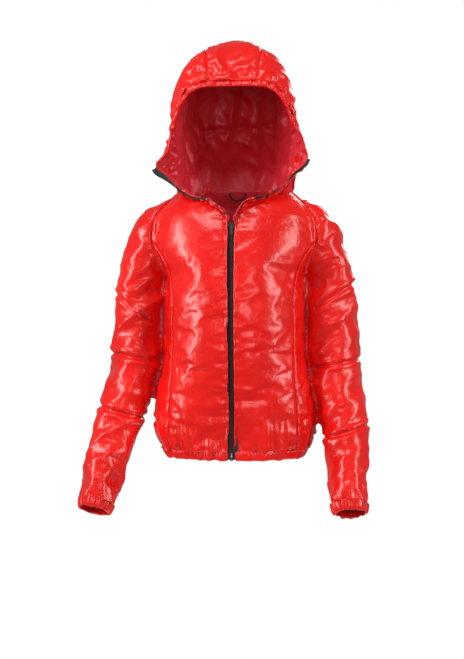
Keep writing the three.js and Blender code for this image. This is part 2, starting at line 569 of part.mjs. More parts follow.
const chainHalf = bar([straightChain(ZIP_FOOT + STOP_TALL + GAP), straightChain(ZIP_TOP),
  ...CHAIN_STRIP.slice(1)]);
const tapeHalf = box(CHAIN_OUT + GAP, TAPE_OUT, TAPE_Y[0], TAPE_Y[1], ZIP_FOOT, ZIP_TOP - 6);
const flapTape = bar(TAPE_STRIP.slice(FLAP_START));
const lastChain = CHAIN_STRIP[CHAIN_STRIP.length - 1];
const edgeWay = openEdge[7].clone().sub(openEdge[6]).normalize();
const topStop = bar([GAP, GAP + TOP_STOP_LONG].map((reach) => ({ ...lastChain, at: lastChain.at.clone()
  .addScaledVector(edgeWay, reach) })));
const flapCloth = bar(flapFrames(() => EDGE_SPACE, (w) => w, FLAP_LINING_AT + LINING + FLAP_GAP, FLAP_THICK)
  .slice(FLAP_START));
const flapLining = bar(flapFrames(() => FLAP_TAPE + GAP, (w) => w, FLAP_LINING_AT, LINING)
  .slice(FLAP_START));
const both = (shape) => ({ left: shape, right: mirrorX(shape) });
for (const [base, shape, material] of [['zip_chain_', chainHalf, 'black'], ['zip_tape_', tapeHalf, 'black'],
  ['collar_zip_tape_', flapTape, 'black'], ['zip_top_stop_', topStop, 'black'],
  ['collar_flap_', flapCloth, 'shell'], ['collar_flap_lining_', flapLining, 'lining']]) {
  for (const [side, half] of Object.entries(both(shape))) add(base + side, half, material);
}
const zipFoot = (x0, x1) => box(x0, x1, CHAIN_Y[0], CHAIN_Y[1], ZIP_FOOT, ZIP_FOOT + STOP_TALL);
add('zip_retainer_box', zipFoot(-CHAIN_OUT, 0.2), 'black');
add('zip_pin', zipFoot(0.2 + GAP, CHAIN_OUT), 'black');

// The slider holds the chain between two plates joined by a bridge.
const plateFront = [CHAIN_Y[0] - GAP - SLIDER_PLATE, CHAIN_Y[0] - GAP];
const plateBack = [CHAIN_Y[1] + GAP, CHAIN_Y[1] + GAP + SLIDER_PLATE];
const sliderPart = (wide, [y0, y1]) => box(-wide / 2, wide / 2, y0, y1, ZIP_TOP - SLIDER_TALL, ZIP_TOP);
add('zip_slider', joinAll([sliderPart(SLIDER_WIDE, plateFront), sliderPart(SLIDER_WIDE, plateBack),
  sliderPart(SLIDER_BRIDGE, [plateFront[0], plateBack[1]])]), 'black');
const PULL_WIDE = 6;
const PULL_LONG = 26;
const PULL_THICK = 1.6;
const PULL_GAP = 0.5;           // room for the pull's top edge to turn
const PULL_TOP = ZIP_TOP - 3;
const PULL_BACK = plateFront[0] - PULL_GAP;
add('zip_pull', box(-PULL_WIDE / 2, PULL_WIDE / 2, PULL_BACK - PULL_THICK, PULL_BACK, PULL_TOP - PULL_LONG,
  PULL_TOP), 'black');

// Strip of cloth behind the zip, sewn to the wearer's right front.
const GUARD_TOP = ZIP_TOP - 4;
const GUARD_Y = FRONT_Y + INSIDE_AT + GAP;
add('wind_guard', box(-CLEAR_HALF - 10, CLEAR_HALF - 2, GUARD_Y, GUARD_Y + LINING, HEM_SEAM_Z, GUARD_TOP),
  'lining');

// ---------- hanger loop inside the back of the neck ----------
const LOOP_HALF = 19;
const LOOP_DROP = 18;
const LOOP_THICK = 2.2;
const LOOP_Y = BACK_DEPTH - 57.5;
const LOOP_TOP = 0;
const loopLine = new THREE.CatmullRomCurve3(Array.from({ length: 9 }, (_, i) => {
  const a = Math.PI * i / 8;
  return v(-LOOP_HALF * Math.cos(a), LOOP_Y, LOOP_TOP - LOOP_DROP * Math.sin(a));
}));
const loopSection = new THREE.Shape(Array.from({ length: 6 }, (_, i) => new THREE.Vector2(
  LOOP_THICK * Math.cos(Math.PI * i / 3), LOOP_THICK * Math.sin(Math.PI * i / 3))));
add('hanger_loop', solid(new THREE.ExtrudeGeometry(loopSection, { steps: 14, bevelEnabled: false,
  extrudePath: loopLine })), 'black');

export default jacket;
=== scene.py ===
# %% [markdown]
# # A hooded ski jacket in glossy red nylon
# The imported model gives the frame: its bodies, its boxes and its joints. Everything below is cloth,
# tape, thread and teeth laid over that frame, in metres, +Z up, with the zip facing -Y.

# %% Load the frame
import bpy, bmesh, math
import numpy as np
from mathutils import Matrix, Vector
from mathutils.bvhtree import BVHTree


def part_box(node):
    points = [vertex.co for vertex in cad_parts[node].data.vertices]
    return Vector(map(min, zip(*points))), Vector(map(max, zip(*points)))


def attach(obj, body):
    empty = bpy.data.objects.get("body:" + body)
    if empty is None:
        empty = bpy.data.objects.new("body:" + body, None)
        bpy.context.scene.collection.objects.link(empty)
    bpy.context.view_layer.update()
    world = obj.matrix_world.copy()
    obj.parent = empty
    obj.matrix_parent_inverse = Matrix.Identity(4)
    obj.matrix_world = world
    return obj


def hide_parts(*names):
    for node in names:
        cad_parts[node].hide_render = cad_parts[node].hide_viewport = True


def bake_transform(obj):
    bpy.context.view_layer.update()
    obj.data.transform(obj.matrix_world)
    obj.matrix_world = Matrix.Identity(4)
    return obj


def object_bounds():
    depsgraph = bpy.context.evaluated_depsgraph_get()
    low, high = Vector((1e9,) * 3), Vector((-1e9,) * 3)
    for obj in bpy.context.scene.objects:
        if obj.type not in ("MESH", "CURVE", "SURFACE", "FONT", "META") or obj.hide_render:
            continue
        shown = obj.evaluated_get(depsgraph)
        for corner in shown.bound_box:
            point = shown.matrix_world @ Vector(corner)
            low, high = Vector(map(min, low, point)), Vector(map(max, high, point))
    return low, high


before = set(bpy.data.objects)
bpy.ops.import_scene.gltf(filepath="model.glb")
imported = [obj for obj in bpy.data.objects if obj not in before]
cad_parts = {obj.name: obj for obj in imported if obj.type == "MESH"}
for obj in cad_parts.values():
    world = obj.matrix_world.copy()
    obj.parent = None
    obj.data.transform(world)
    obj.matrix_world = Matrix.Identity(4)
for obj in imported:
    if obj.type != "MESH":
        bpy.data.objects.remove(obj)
cad_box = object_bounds()
MM = 0.001

# %% [markdown]
# ## Camera, floor and light
# A garment on an invisible figure is shown from straight in front, a little to the wearer's left, with
# a long lens so that the shape stays true. White surroundings and tall soft boxes at the sides: glossy
# nylon only looks glossy when it has something wide and bright to mirror. The floor lies well below.

# %% Camera
TARGET = Vector((-8, 0, -322)) * MM
DISTANCE = 2.5
TURN = math.radians(4.5)
camera = bpy.data.objects.new("camera", bpy.data.cameras.new("camera"))
bpy.context.collection.objects.link(camera)
camera.location = TARGET + Vector((math.sin(TURN), -math.cos(TURN), 0)) * DISTANCE
camera.rotation_euler = (TARGET - camera.location).to_track_quat("-Z", "Y").to_euler()
camera.data.sensor_width = 36
camera.data.lens = 59.2
bpy.context.scene.camera = camera

# %% Floor and lamps
FLOOR = cad_box[0][2] - 0.75


def plain_material(name, colour, rough):
    material = bpy.data.materials.new(name)
    material.use_nodes = True
    shader = material.node_tree.nodes["Principled BSDF"]
    shader.inputs["Base Color"].default_value = (*colour, 1)
    shader.inputs["Roughness"].default_value = rough
    return material


bpy.ops.mesh.primitive_plane_add(size=1.6, location=(0, 0, FLOOR))
floor = bpy.context.object
floor.name = "floor"
floor.data.materials.append(plain_material("white paper", (1, 1, 1), 0.9))


CENTRE = Vector((0, 0, -0.3))


def soft_box(name, place, size, power):
    data = bpy.data.lights.new(name, "AREA")
    data.shape = "RECTANGLE"
    data.size, data.size_y = size
    data.energy = power
    lamp = bpy.data.objects.new(name, data)
    lamp.location = place
    lamp.rotation_euler = (CENTRE - Vector(place)).to_track_quat("-Z", "Y").to_euler()
    bpy.context.collection.objects.link(lamp)


soft_box("left box", (-2.1, -1.3, 0.3), (0.5, 2.2), 50)
soft_box("right box", (2.2, -1.2, 0.3), (0.5, 2.2), 38)
soft_box("high box", (-0.5, -1.6, 2.1), (1.4, 0.6), 24)
soft_box("front fill", (0.3, -3.6, 0.1), (0.9, 0.9), 15)
soft_box("back light", (0.8, 2.6, 1.2), (1.8, 1.8), 34)
world = bpy.data.worlds.new("studio")
world.use_nodes = True
background = world.node_tree.nodes["Background"]
background.inputs["Color"].default_value = (1, 1, 1, 1)
seen = world.node_tree.nodes.new("ShaderNodeLightPath")
strength = world.node_tree.nodes.new("ShaderNodeMapRange")
strength.inputs["To Min"].default_value = 0.22
strength.inputs["To Max"].default_value = 1.0
world.node_tree.links.new(seen.outputs["Is Camera Ray"], strength.inputs["Value"])
world.node_tree.links.new(strength.outputs["Result"], background.inputs["Strength"])
bpy.context.scene.world = world
bpy.context.scene.view_settings.view_transform = "Standard"

# %% [markdown]
# ## Helpers for curves and grids
# The pattern is a set of smooth curves read at any height: half widths, depths and the middle line of
# each sleeve. A monotone-looking cubic through a few points is enough, so no long tables are needed.

# %% Curves through a few points
def along(pairs, x):
    """Value at x on a smooth line through (x, value) pairs, low to high; x may be an array."""
    xs = np.array([p[0] for p in pairs], float)
    ys = np.array([p[1] for p in pairs], float)
    slopes = np.gradient(ys, xs)
    x = np.clip(np.asarray(x, float), xs[0], xs[-1])
    i = np.clip(np.searchsorted(xs, x, side="right") - 1, 0, len(xs) - 2)
    span = xs[i + 1] - xs[i]
    t = (x - xs[i]) / span
    return ((2 * t**3 - 3 * t**2 + 1) * ys[i] + (t**3 - 2 * t**2 + t) * span * slopes[i]
            + (3 * t**2 - 2 * t**3) * ys[i + 1] + (t**3 - t**2) * span * slopes[i + 1])


def smooth(low, high, x):
    t = np.clip((np.asarray(x, float) - low) / (high - low), 0, 1)
    return t * t * (3 - 2 * t)


def mesh_object(name, points, faces, material=None):
    """A mesh object in metres from points in millimetres."""
    mesh = bpy.data.meshes.new(name)
    corners = [tuple(int(i) for i in face) for face in faces]
    mesh.from_pydata([tuple(p) for p in np.asarray(points) * MM], [], corners)
    mesh.validate()
    piece = bpy.data.objects.new(name, mesh)
    bpy.context.collection.objects.link(piece)
    if material:
        mesh.materials.append(material)
    mesh.polygons.foreach_set("use_smooth", [True] * len(mesh.polygons))
    return piece


def grid_faces(rows, columns, closed=False):
    faces = []
    for j in range(rows - 1):
        for i in range(columns if closed else columns - 1):
            a = j * columns + i
            b = j * columns + (i + 1) % columns
            faces.append((a, b, b + columns, a + columns))
    return faces


def points_of(piece):
    values = np.empty(len(piece.data.vertices) * 3)
    piece.data.vertices.foreach_get("co", values)
    return values.reshape(-1, 3) / MM


def set_points(piece, points):
    piece.data.vertices.foreach_set("co", (np.asarray(points) * MM).ravel())
    piece.data.update()


def normals_of(piece):
    values = np.empty(len(piece.data.vertices) * 3)
    piece.data.vertices.foreach_get("normal", values)
    return values.reshape(-1, 3)


def turn_outward(piece):
    """Turns the faces of a closed piece so that they all point away from it."""
    mesh = bmesh.new()
    mesh.from_mesh(piece.data)
    bmesh.ops.recalc_face_normals(mesh, faces=mesh.faces)
    mesh.to_mesh(piece.data)
    mesh.free()
    return piece


def only(piece):
    bpy.ops.object.select_all(action="DESELECT")
    piece.select_set(True)
    bpy.context.view_layer.objects.active = piece


def apply_modifier(piece, kind, **settings):
    modifier = piece.modifiers.new(kind.lower(), kind)
    for key, value in settings.items():
        setattr(modifier, key, value)
    only(piece)
    bpy.ops.object.modifier_apply(modifier=modifier.name)


# %% [markdown]
# ## The jacket's volume
# The body is a stack of rounded ovals, each sleeve a stack of rings along a bent middle line. The same
# driving sizes as the model's are used, so cloth and frame agree. Melting the three volumes together
# with a voxel remesh gives one skin with soft armpits, which no stack of ovals would have.

# %% Driving sizes, in millimetres
HEM, HEM_SEAM, ARMPIT = -612, -594, -196
CHEST, HIP, NECK, SHOULDER, SHOULDER_Z = 156, 185, 134, 185, -85
FRONT = 116
ZIP_TOP = -87
SLEEVE, CUFF = 640, 20
BRIM_TOP, HOOD_TOP = 217, 338
body_half = [(HEM, 157), (HEM_SEAM, 167), (-567, 181), (-515, HIP), (-455, 176), (-400, 163), (-330, 158),
             (-256, 157), (ARMPIT, CHEST), (-145, 184), (-90, 187), (-60, 180), (-30, 157), (-6, NECK),
             (14, 116)]
body_front = [(HEM, FRONT), (-95, FRONT), (-60, 102), (-30, 82), (-6, 66), (14, 58)]
body_back = [(HEM, 112), (-515, 124), (-400, 104), (-280, 108), (-150, 110), (-100, 102), (-60, 92),
             (-30, 82), (-6, 72), (14, 68)]
sleeve_half = [(-60, 34), (-20, 44), (30, 50), (80, 53), (150, 56), (320, 58), (430, 53), (550, 47),
               (SLEEVE - CUFF, 42), (SLEEVE, 37)]
arm_room = [(0, 0), (60, 16), (115, 30), (171, 34), (241, 38), (331, 42), (437, 50), (SLEEVE, 44)]
arm_swing = [(115, 0), (241, 0.03), (331, 0.11), (396, 0.24), (465, 0.45), (545, 0.72), (SLEEVE, 1)]
arm_forward = [(200, 0), (300, 4), (390, 16), (470, 40), (550, 70), (SLEEVE, 112)]
arms = {"left": (1, 32), "right": (-1, 79)}  # side of the body, and how far the cuff swings out


# %% Body and sleeve rings
def body_ring(z, count):
    turn = (np.arange(count) + 0.5) * 2 * np.pi / count
    c, s = np.cos(turn), np.sin(turn)
    depth = np.where(s > 0, along(body_back, z), along(body_front, z))
    power = 2 / 2.4
    return np.stack([along(body_half, z) * np.sign(c) * abs(c) ** power,
                     depth * np.sign(s) * abs(s) ** power, np.full(count, z)], 1)


def sleeve_middle(side, down):
    sign, swing = arms[side]
    out = down * 1.35 if down < 0 else along(arm_room, down) + swing * along(arm_swing, down)
    drop = down * 0.75 if down < 0 else down
    return np.array([sign * (SHOULDER + out), -along(arm_forward, down), SHOULDER_Z - drop], float)


def sleeve_way(side, down):
    down = min(down, SLEEVE)
    way = sleeve_middle(side, min(down + 12, SLEEVE)) - sleeve_middle(side, down - 12)
    return way / np.linalg.norm(way)


def sleeve_ring(side, down, count, grow=0.0):
    way = sleeve_way(side, down)
    across = np.cross((0, 1, 0), way)
    across /= np.linalg.norm(across)
    fore = np.cross(way, across)
    half = along(sleeve_half, down) + grow
    depth = half * (1.25 - 0.2 * smooth(20, 90, down))
    turn = (np.arange(count) + 0.5) * 2 * np.pi / count
    middle = sleeve_middle(side, min(down, SLEEVE)) + way * max(down - SLEEVE, 0)
    return (middle + np.outer(np.cos(turn) * half, across)
            + np.outer(np.sin(turn) * depth, fore))


def closed_loft(name, rings):
    count = len(rings[0])
    points = list(np.concatenate(rings)) + [rings[0].mean(0), rings[-1].mean(0)]
    faces = grid_faces(len(rings), count, closed=True)
    first, last, base = len(points) - 2, len(points) - 1, (len(rings) - 1) * count
    for i in range(count):
        k = (i + 1) % count
        faces += [(first, k, i), (last, base + i, base + k)]
    return turn_outward(mesh_object(name, points, faces))


# %% One skin for body and sleeves
GRAIN = 6.0


def fused(name, lofts, grain, relax):
    only(lofts[0])
    for loft in lofts:
        loft.select_set(True)
    bpy.ops.object.join()
    skin = lofts[0]
    skin.name = name
    apply_modifier(skin, "REMESH", mode="VOXEL", voxel_size=grain * MM, use_smooth_shade=True)
    apply_modifier(skin, "SMOOTH", factor=0.5, iterations=relax)
    return skin


def body_and_sleeves(title, body_rings, sleeve_rings):
    """Three closed volumes; each pair gives the points round a ring and the step between rings."""
    count, step = body_rings
    lofts = [closed_loft(title + "body", [body_ring(z, count) for z in np.arange(HEM - 30, 45, step)])]
    count, step = sleeve_rings
    for side in arms:
        down = [*np.arange(-60, SLEEVE, step), SLEEVE, SLEEVE + 12]
        lofts.append(closed_loft(title + side, [sleeve_ring(side, d, count) for d in down]))
    return lofts


skin = fused("skin", body_and_sleeves("", (72, 12), (40, 14)), GRAIN, 8)
print("skin:", len(skin.data.polygons), "faces")


# %% [markdown]
# ## Cutting the openings
# The closed skin is cut where the real shell ends: at the seams of the hem and cuff casings, at the
# sloping neck seam, along the zip and round the opened collar. Straight cuts are bisections, so their
# edges are clean; the curved collar edge is trimmed face by face and its border pulled onto the curve.

# %% Cuts
PLACKET = 6.2
NECK_SLOPE, NECK_Z = 0.17, -4
opening_side = [(0, ZIP_TOP), (9, ZIP_TOP + 14), (20, ZIP_TOP + 33), (40, ZIP_TOP + 48), (66, ZIP_TOP + 57),
                (110, ZIP_TOP + 70), (164, ZIP_TOP + 100)]


def trim(mesh, pick, place, way):
    """Cuts the picked faces by a plane and deletes what lies behind it."""
    faces = [f for f in mesh.faces if pick(f.calc_center_median() / MM)]
    parts = list({e for f in faces for e in f.edges}) + list({v for f in faces for v in f.verts}) + faces
    bmesh.ops.bisect_plane(mesh, geom=parts, plane_co=Vector(place) * MM, plane_no=Vector(way),
                           clear_inner=True)


def open_edges(piece):
    """Indices of the vertices on an open border."""
    mesh = bmesh.new()
    mesh.from_mesh(piece.data)
    rim = sorted({v.index for e in mesh.edges if e.is_boundary for v in e.verts})
    mesh.free()
    return np.array(rim)


def collar_edge(x):
    return along(opening_side, abs(np.asarray(x)))


def cut_openings(piece):
    mesh = bmesh.new()
    mesh.from_mesh(piece.data)
    trim(mesh, lambda c: abs(c.x) < 200 and c.z < -575, (0, 0, HEM_SEAM), (0, 0, 1))
    for side, (sign, _) in arms.items():
        place, way = sleeve_middle(side, SLEEVE), sleeve_way(side, SLEEVE)
        trim(mesh, lambda c: c.x * sign > 190 and c.z < -640, place - way * CUFF, -way)
    trim(mesh, lambda c: c.z > -40, (0, 0, NECK_Z), (0, NECK_SLOPE, -1))
    for sign in (1, -1):
        trim(mesh, lambda c: 0 <= c.x * sign < 30 and c.y < -60 and c.z < -60, (sign * PLACKET, 0, 0),
             (sign, 0, 0))
    gone = [f for f in mesh.faces if f.calc_center_median().y < 0
            and f.calc_center_median().z / MM > collar_edge(f.calc_center_median().x / MM)]
    bmesh.ops.delete(mesh, geom=gone, context="FACES")
    mesh.to_mesh(piece.data)
    mesh.free()
    points = points_of(piece)
    rim = open_edges(piece)
    at = points[rim]
    near = (at[:, 1] < 0) & (abs(at[:, 2] - collar_edge(at[:, 0])) < 9) & (abs(at[:, 0]) > 5)
    rim = rim[near]
    points[rim, 2] = collar_edge(points[rim, 0])
    set_points(piece, points)


cut_openings(skin)
print("cut skin:", len(skin.data.polygons), "faces")

# %% [markdown]
# ## Seams
# A seam is a curve on the skin: its sideways place is a smooth function of height, and front or back
# tells which side of the body it runs on. The distance from a seam steers the groove, the puckers and
# the pins of the simulation.

# %% Seam curves
princess = [(-620, 140), (-566, 143), (-425, 138), (-327, 136), (-225, 138), (-177, 150), (-130, 178),
            (-110, 190)]
back_seam = [(-620, 140), (-400, 135), (-230, 140), (-178, 154), (-140, 176), (-120, 186)]
raglan = [(ARMPIT, 156), (-164, 166), (-127, 184), (-100, 185), (-57, 175), (-30, 151), (-5, 126), (8, 114)]


def seam_distance(points, normals, line, back, low, high):
    """Distance along the cloth from each point to a seam, in millimetres."""
    z = points[:, 2]
    slope = (along(line, z + 2) - along(line, z - 2)) / 4
    flat = abs(abs(points[:, 0]) - along(line, z)) / np.sqrt(1 + slope**2)
    distance = flat / np.clip(abs(normals[:, 1]), 0.35, 1)
    if back is not None:
        distance = distance + np.where((points[:, 1] > 0) == back, 0, 400)
    return distance + np.maximum(low - z, 0) + np.maximum(z - high, 0)


def all_seams(points, normals):
    return np.min([seam_distance(points, normals, princess, False, HEM_SEAM - 5, -128),
                   seam_distance(points, normals, back_seam, True, HEM_SEAM - 5, -140),
                   seam_distance(points, normals, raglan, None, ARMPIT, 8)], axis=0)


def is_arm(points):
    """True where a point belongs to a sleeve: outside the raglan seam, or outside the body lower down."""
    x, z = abs(points[:, 0]), points[:, 2]
    side_gap = [(-720, 190), (-512, 186.5), (-400, 164), (-256, 158.5), (ARMPIT, 156)]
    return np.where(z > ARMPIT, x > along(raglan, z), x > along(side_gap, z))


# %% [markdown]
# ## Swelling the cloth
# Padded nylon is wider than the lining it is sewn to, so it bulges between seams and buckles along
# them. Blender's cloth solver does just that: every vertex near a seam or an edge is pinned, the rest
# is given a little too much cloth and some air pressure. A dozen steps are enough, and no vertex may
# end further from where it began than a padded jacket allows.

# %% Waves of a chosen length, the same on every run
def waves(points, length, seed, stretch=(1, 1, 1), count=9):
    """A smooth random field of about -1 to 1 with the given wavelength in millimetres."""
    random = np.random.default_rng(seed)
    ways = random.normal(size=(count, 3))
    ways /= np.linalg.norm(ways, axis=1)[:, None]
    ways *= (2 * np.pi / length) * random.uniform(0.7, 1.4, (count, 1))
    phases = random.uniform(0, 2 * np.pi, count)
    field = np.sin(points / np.array(stretch) @ ways.T + phases).sum(1)
    return field * np.sqrt(2 / count) * 0.7


def ridges(points, length, seed, stretch=(1, 1, 1)):
    """Sharp-crested folds: 1 on a crest, falling to 0 and below between them."""
    return 1 - 2.2 * abs(waves(points, length, seed, stretch))


def pin_weights(piece, weights):
    group = piece.vertex_groups.new(name="pins")
    steps = np.round(weights * 20) / 20
    for value in np.unique(steps):
        if value > 0:
            group.add([int(i) for i in np.nonzero(steps == value)[0]], float(value), "REPLACE")
    return group.name


def swell(piece, pins, pressure, slack, frames, limit):
    """Cloth with pinned places, a little too much cloth, and air inside; capped movement."""
    before = points_of(piece)
    cloth = piece.modifiers.new("cloth", "CLOTH")
    settings = cloth.settings
    settings.quality = 4
    settings.mass = 0.25
    settings.tension_stiffness = settings.compression_stiffness = 12
    settings.shear_stiffness = 4
    settings.bending_stiffness = 0.6
    settings.air_damping = 4
    settings.vertex_group_mass = pin_weights(piece, pins)
    settings.shrink_min = -slack
    settings.use_pressure = True
    settings.uniform_pressure_force = pressure
    settings.effector_weights.gravity = 0
    cloth.collision_settings.use_self_collision = False
    cloth.collision_settings.use_collision = False
    cloth.point_cache.frame_end = frames
    scene = bpy.context.scene
    for step in range(1, frames + 1):
        scene.frame_set(step)
    moved = piece.evaluated_get(bpy.context.evaluated_depsgraph_get())
    after = np.empty(len(before) * 3)
    moved.data.vertices.foreach_get("co", after)
    after = after.reshape(-1, 3) / MM
    piece.modifiers.remove(cloth)
    scene.frame_set(1)
    shift = after - before
    far = np.linalg.norm(shift, axis=1)
    shift *= (limit * np.tanh(far / limit) / np.maximum(far, 1e-6))[:, None]
    set_points(piece, before + shift)
    print(piece.name, "moved at most", round(float(far.max()), 1), "mm, typically",
          round(float(np.median(far)), 1))


# %% Swell the skin
points, normals = points_of(skin), normals_of(skin)
seam_gap = all_seams(points, normals)
edge_pins = np.zeros(len(points))
edge_pins[open_edges(skin)] = 1
pins = np.maximum(edge_pins, 0.85 * (1 - smooth(3, 10, seam_gap)))
LEAN = np.array([[0.8, 0, -0.6], [0, 1, 0], [0.6, 0, 0.8]])
turned = points @ LEAN
folds = np.where(is_arm(points),
                 2.2 * ridges(turned * np.sign(points[:, :1]), 84, 3, (3.2, 1.2, 0.8)),
                 0.9 * ridges(turned, 130, 5, (1, 1, 3)) + 0.4 * ridges(points, 80, 6, (2.2, 1, 0.8)))
folds *= smooth(4, 40, seam_gap)
set_points(skin, points + normals * (folds * (1 - edge_pins))[:, None])
swell(skin, pins, pressure=1.2, slack=0.015, frames=13, limit=8)

# %% [markdown]
# ## Grooves, puckers and gathers
# A seam pulls the padded cloth down into a groove, and the stitches shorten it a little, so short
# puckers stand across the seam. Elastic does the same over a wider band: folds start at the hem and the
# cuffs and fade as they climb. These are added to the swollen skin as small moves along its normals.

# %% Finer skin with its relief
apply_modifier(skin, "SUBSURF", levels=1, render_levels=1)


GROOVE, GROOVE_WIDE = 2.6, 3.0
HEM_GATHER, HEM_CREASE, CUFF_GATHER = 4.2, 1.6, 3.0
STITCH_LINE, PLACKET_ROLL = 13.2, 1.5


def bump_at(distance, width):
    return np.exp(-(distance / width) ** 2)


def cuff_distance(points, side):
    """How far above the cuff seam each point lies, along the sleeve's end."""
    way = sleeve_way(side, SLEEVE)
    return (sleeve_middle(side, SLEEVE) - way * CUFF - points) @ way


def tuck(points, sign, x0, z0, x1, z1, deep, wide):
    """A sharp crease across a sleeve from (x0, z0) to (x1, z1) with a full roll of cloth on each side."""
    along_x = np.clip((points[:, 0] - x0) / (x1 - x0), -0.3, 1.3)
    off = points[:, 2] - (z0 + (z1 - z0) * along_x)
    here = (points[:, 0] * sign > 180) * (points[:, 1] < 30)
    return here * deep * (0.55 * bump_at(abs(off) - 2.2 * wide, wide * 1.3) - bump_at(off, wide))


def relief(points, normals):
    seams, arm = all_seams(points, normals), is_arm(points)
    x, z = abs(points[:, 0]), points[:, 2]
    lift = -GROOVE * bump_at(seams, GROOVE_WIDE)
    lift += 1.2 * ridges(points, 28, 21, (4, 2, 1)) * smooth(1, 7, seams) * np.exp(-seams / 22)
    patchy = smooth(-0.4, 0.8, waves(points, 150, 28))
    mirrored = points * np.stack([np.sign(points[:, 0]), np.ones(len(points)), np.ones(len(points))], 1)
    lift += 0.4 * patchy * ridges(mirrored @ LEAN, 42, 27, (3, 1, 1)) * smooth(3, 14, seams)
    lift += 0.7 * arm * ridges(mirrored @ LEAN, 50, 29, (4, 1.5, 0.9)) * smooth(3, 20, seams)
    hem = np.where(arm, 0, np.exp(-np.maximum(z - HEM_SEAM, 0) / 42))
    lift += HEM_GATHER * hem * waves(points * (1, 1, 0.12), 32, 22)
    lift += HEM_CREASE * hem * ridges(points * (1, 1, 0.2), 24, 26)
    for side, (sign, _) in arms.items():
        near = np.exp(-np.maximum(cuff_distance(points, side), 0) / 30) * arm * (points[:, 0] * sign > 0)
        lift += CUFF_GATHER * near * waves(points * (1, 1, 0.2), 26, 23)
    front = (points[:, 1] < -60) * (z < ZIP_TOP + 16)
    lift += front * (PLACKET_ROLL * (bump_at(x - 9.6, 2.4) - bump_at(x - STITCH_LINE, 1.5))
                     + 0.7 * waves(points, 16, 24, (3, 1, 1)) * smooth(6, 9, x) * (1 - smooth(14, 34, x)))
    for crease in [(-1, -286, -376, -194, -389, 5, 5), (-1, -300, -498, -208, -522, 5, 5),
                   (-1, -262, -250, -190, -300, 4, 5), (1, 200, -262, 262, -224, 4, 5),
                   (1, 205, -404, 268, -392, 4, 4), (1, 214, -560, 285, -540, 4, 4)]:
        lift += tuck(points, *crease)
    return lift


points, normals = points_of(skin), normals_of(skin)
set_points(skin, points + normals * relief(points, normals)[:, None])
print("fine skin:", len(skin.data.polygons), "faces")

# %% [markdown]
# ## Finishes
# Shell: thin nylon with a high shine, so a low roughness, a coat, and a crumple in the bump at two
# scales; the colour drifts a little, as dyed cloth does. Lining: crimson satin. Tape and teeth: black.
# The crumple is one node group, used by every cloth.

# %% Crumple group
def new_group(name, inputs, outputs):
    group = bpy.data.node_groups.new(name, "ShaderNodeTree")
    for title, kind, value in inputs:
        socket = group.interface.new_socket(title, in_out="INPUT", socket_type="NodeSocket" + kind)
        if value is not None:
            socket.default_value = value
    for title, kind in outputs:
        group.interface.new_socket(title, in_out="OUTPUT", socket_type="NodeSocket" + kind)
    return group, group.nodes.new("NodeGroupInput"), group.nodes.new("NodeGroupOutput")


def add_node(tree, kind, links=None, **settings):
    node = tree.nodes.new("ShaderNode" + kind)
    for key, value in settings.items():
        if hasattr(node, key):
            setattr(node, key, value)
        else:
            node.inputs[key.replace("_", " ")].default_value = value
    for socket, source in (links or {}).items():
        tree.links.new(source, node.inputs[socket])
    return node


crumple, given, result = new_group("cloth crumple", [("Folds", "Float", 60.0), ("Weave", "Float", 1400.0)],
                                   [("Height", "Float"), ("Shade", "Float")])
place = add_node(crumple, "TexCoord").outputs["Object"]
broad = add_node(crumple, "TexNoise", {"Vector": place, "Scale": given.outputs["Folds"]}, Detail=4.0,
                 Roughness=0.55, Distortion=1.2)
ridge = add_node(crumple, "Math", {0: broad.outputs["Fac"]}, operation="SUBTRACT")
ridge.inputs[1].default_value = 0.5
fold = add_node(crumple, "Math", {0: ridge.outputs[0]}, operation="ABSOLUTE")
weave = add_node(crumple, "TexNoise", {"Vector": place, "Scale": given.outputs["Weave"]}, Detail=1.0)
small = add_node(crumple, "Math", {0: weave.outputs["Fac"]}, operation="MULTIPLY")
small.inputs[1].default_value = 0.03
height = add_node(crumple, "Math", {0: fold.outputs[0], 1: small.outputs[0]}, operation="SUBTRACT")
drift = add_node(crumple, "TexNoise", {"Vector": place}, Scale=7.0, Detail=2.0)
crumple.links.new(height.outputs[0], result.inputs["Height"])
crumple.links.new(drift.outputs["Fac"], result.inputs["Shade"])


# %% Cloth materials
def cloth_material(name, dark, light, rough, folds, strength, coat=0.0, sheen=0.0, tint=None):
    material = bpy.data.materials.new(name)
    material.use_nodes = True
    tree = material.node_tree
    shader = tree.nodes["Principled BSDF"]
    group = tree.nodes.new("ShaderNodeGroup")
    group.node_tree = crumple
    group.inputs["Folds"].default_value = folds
    colour = add_node(tree, "ValToRGB", {"Fac": group.outputs["Shade"]})
    colour.color_ramp.elements[0].position, colour.color_ramp.elements[1].position = 0.35, 0.65
    colour.color_ramp.elements[0].color = (*dark, 1)
    colour.color_ramp.elements[1].color = (*light, 1)
    bump = add_node(tree, "Bump", {"Height": group.outputs["Height"]}, Strength=strength, Distance=0.004)
    tree.links.new(colour.outputs["Color"], shader.inputs["Base Color"])
    tree.links.new(bump.outputs["Normal"], shader.inputs["Normal"])
    shader.inputs["Roughness"].default_value = rough
    shader.inputs["Coat Weight"].default_value = coat
    shader.inputs["Coat Roughness"].default_value = 0.14
    shader.inputs["Sheen Weight"].default_value = sheen
    if tint:
        shader.inputs["Specular Tint"].default_value = (*tint, 1)
    return material


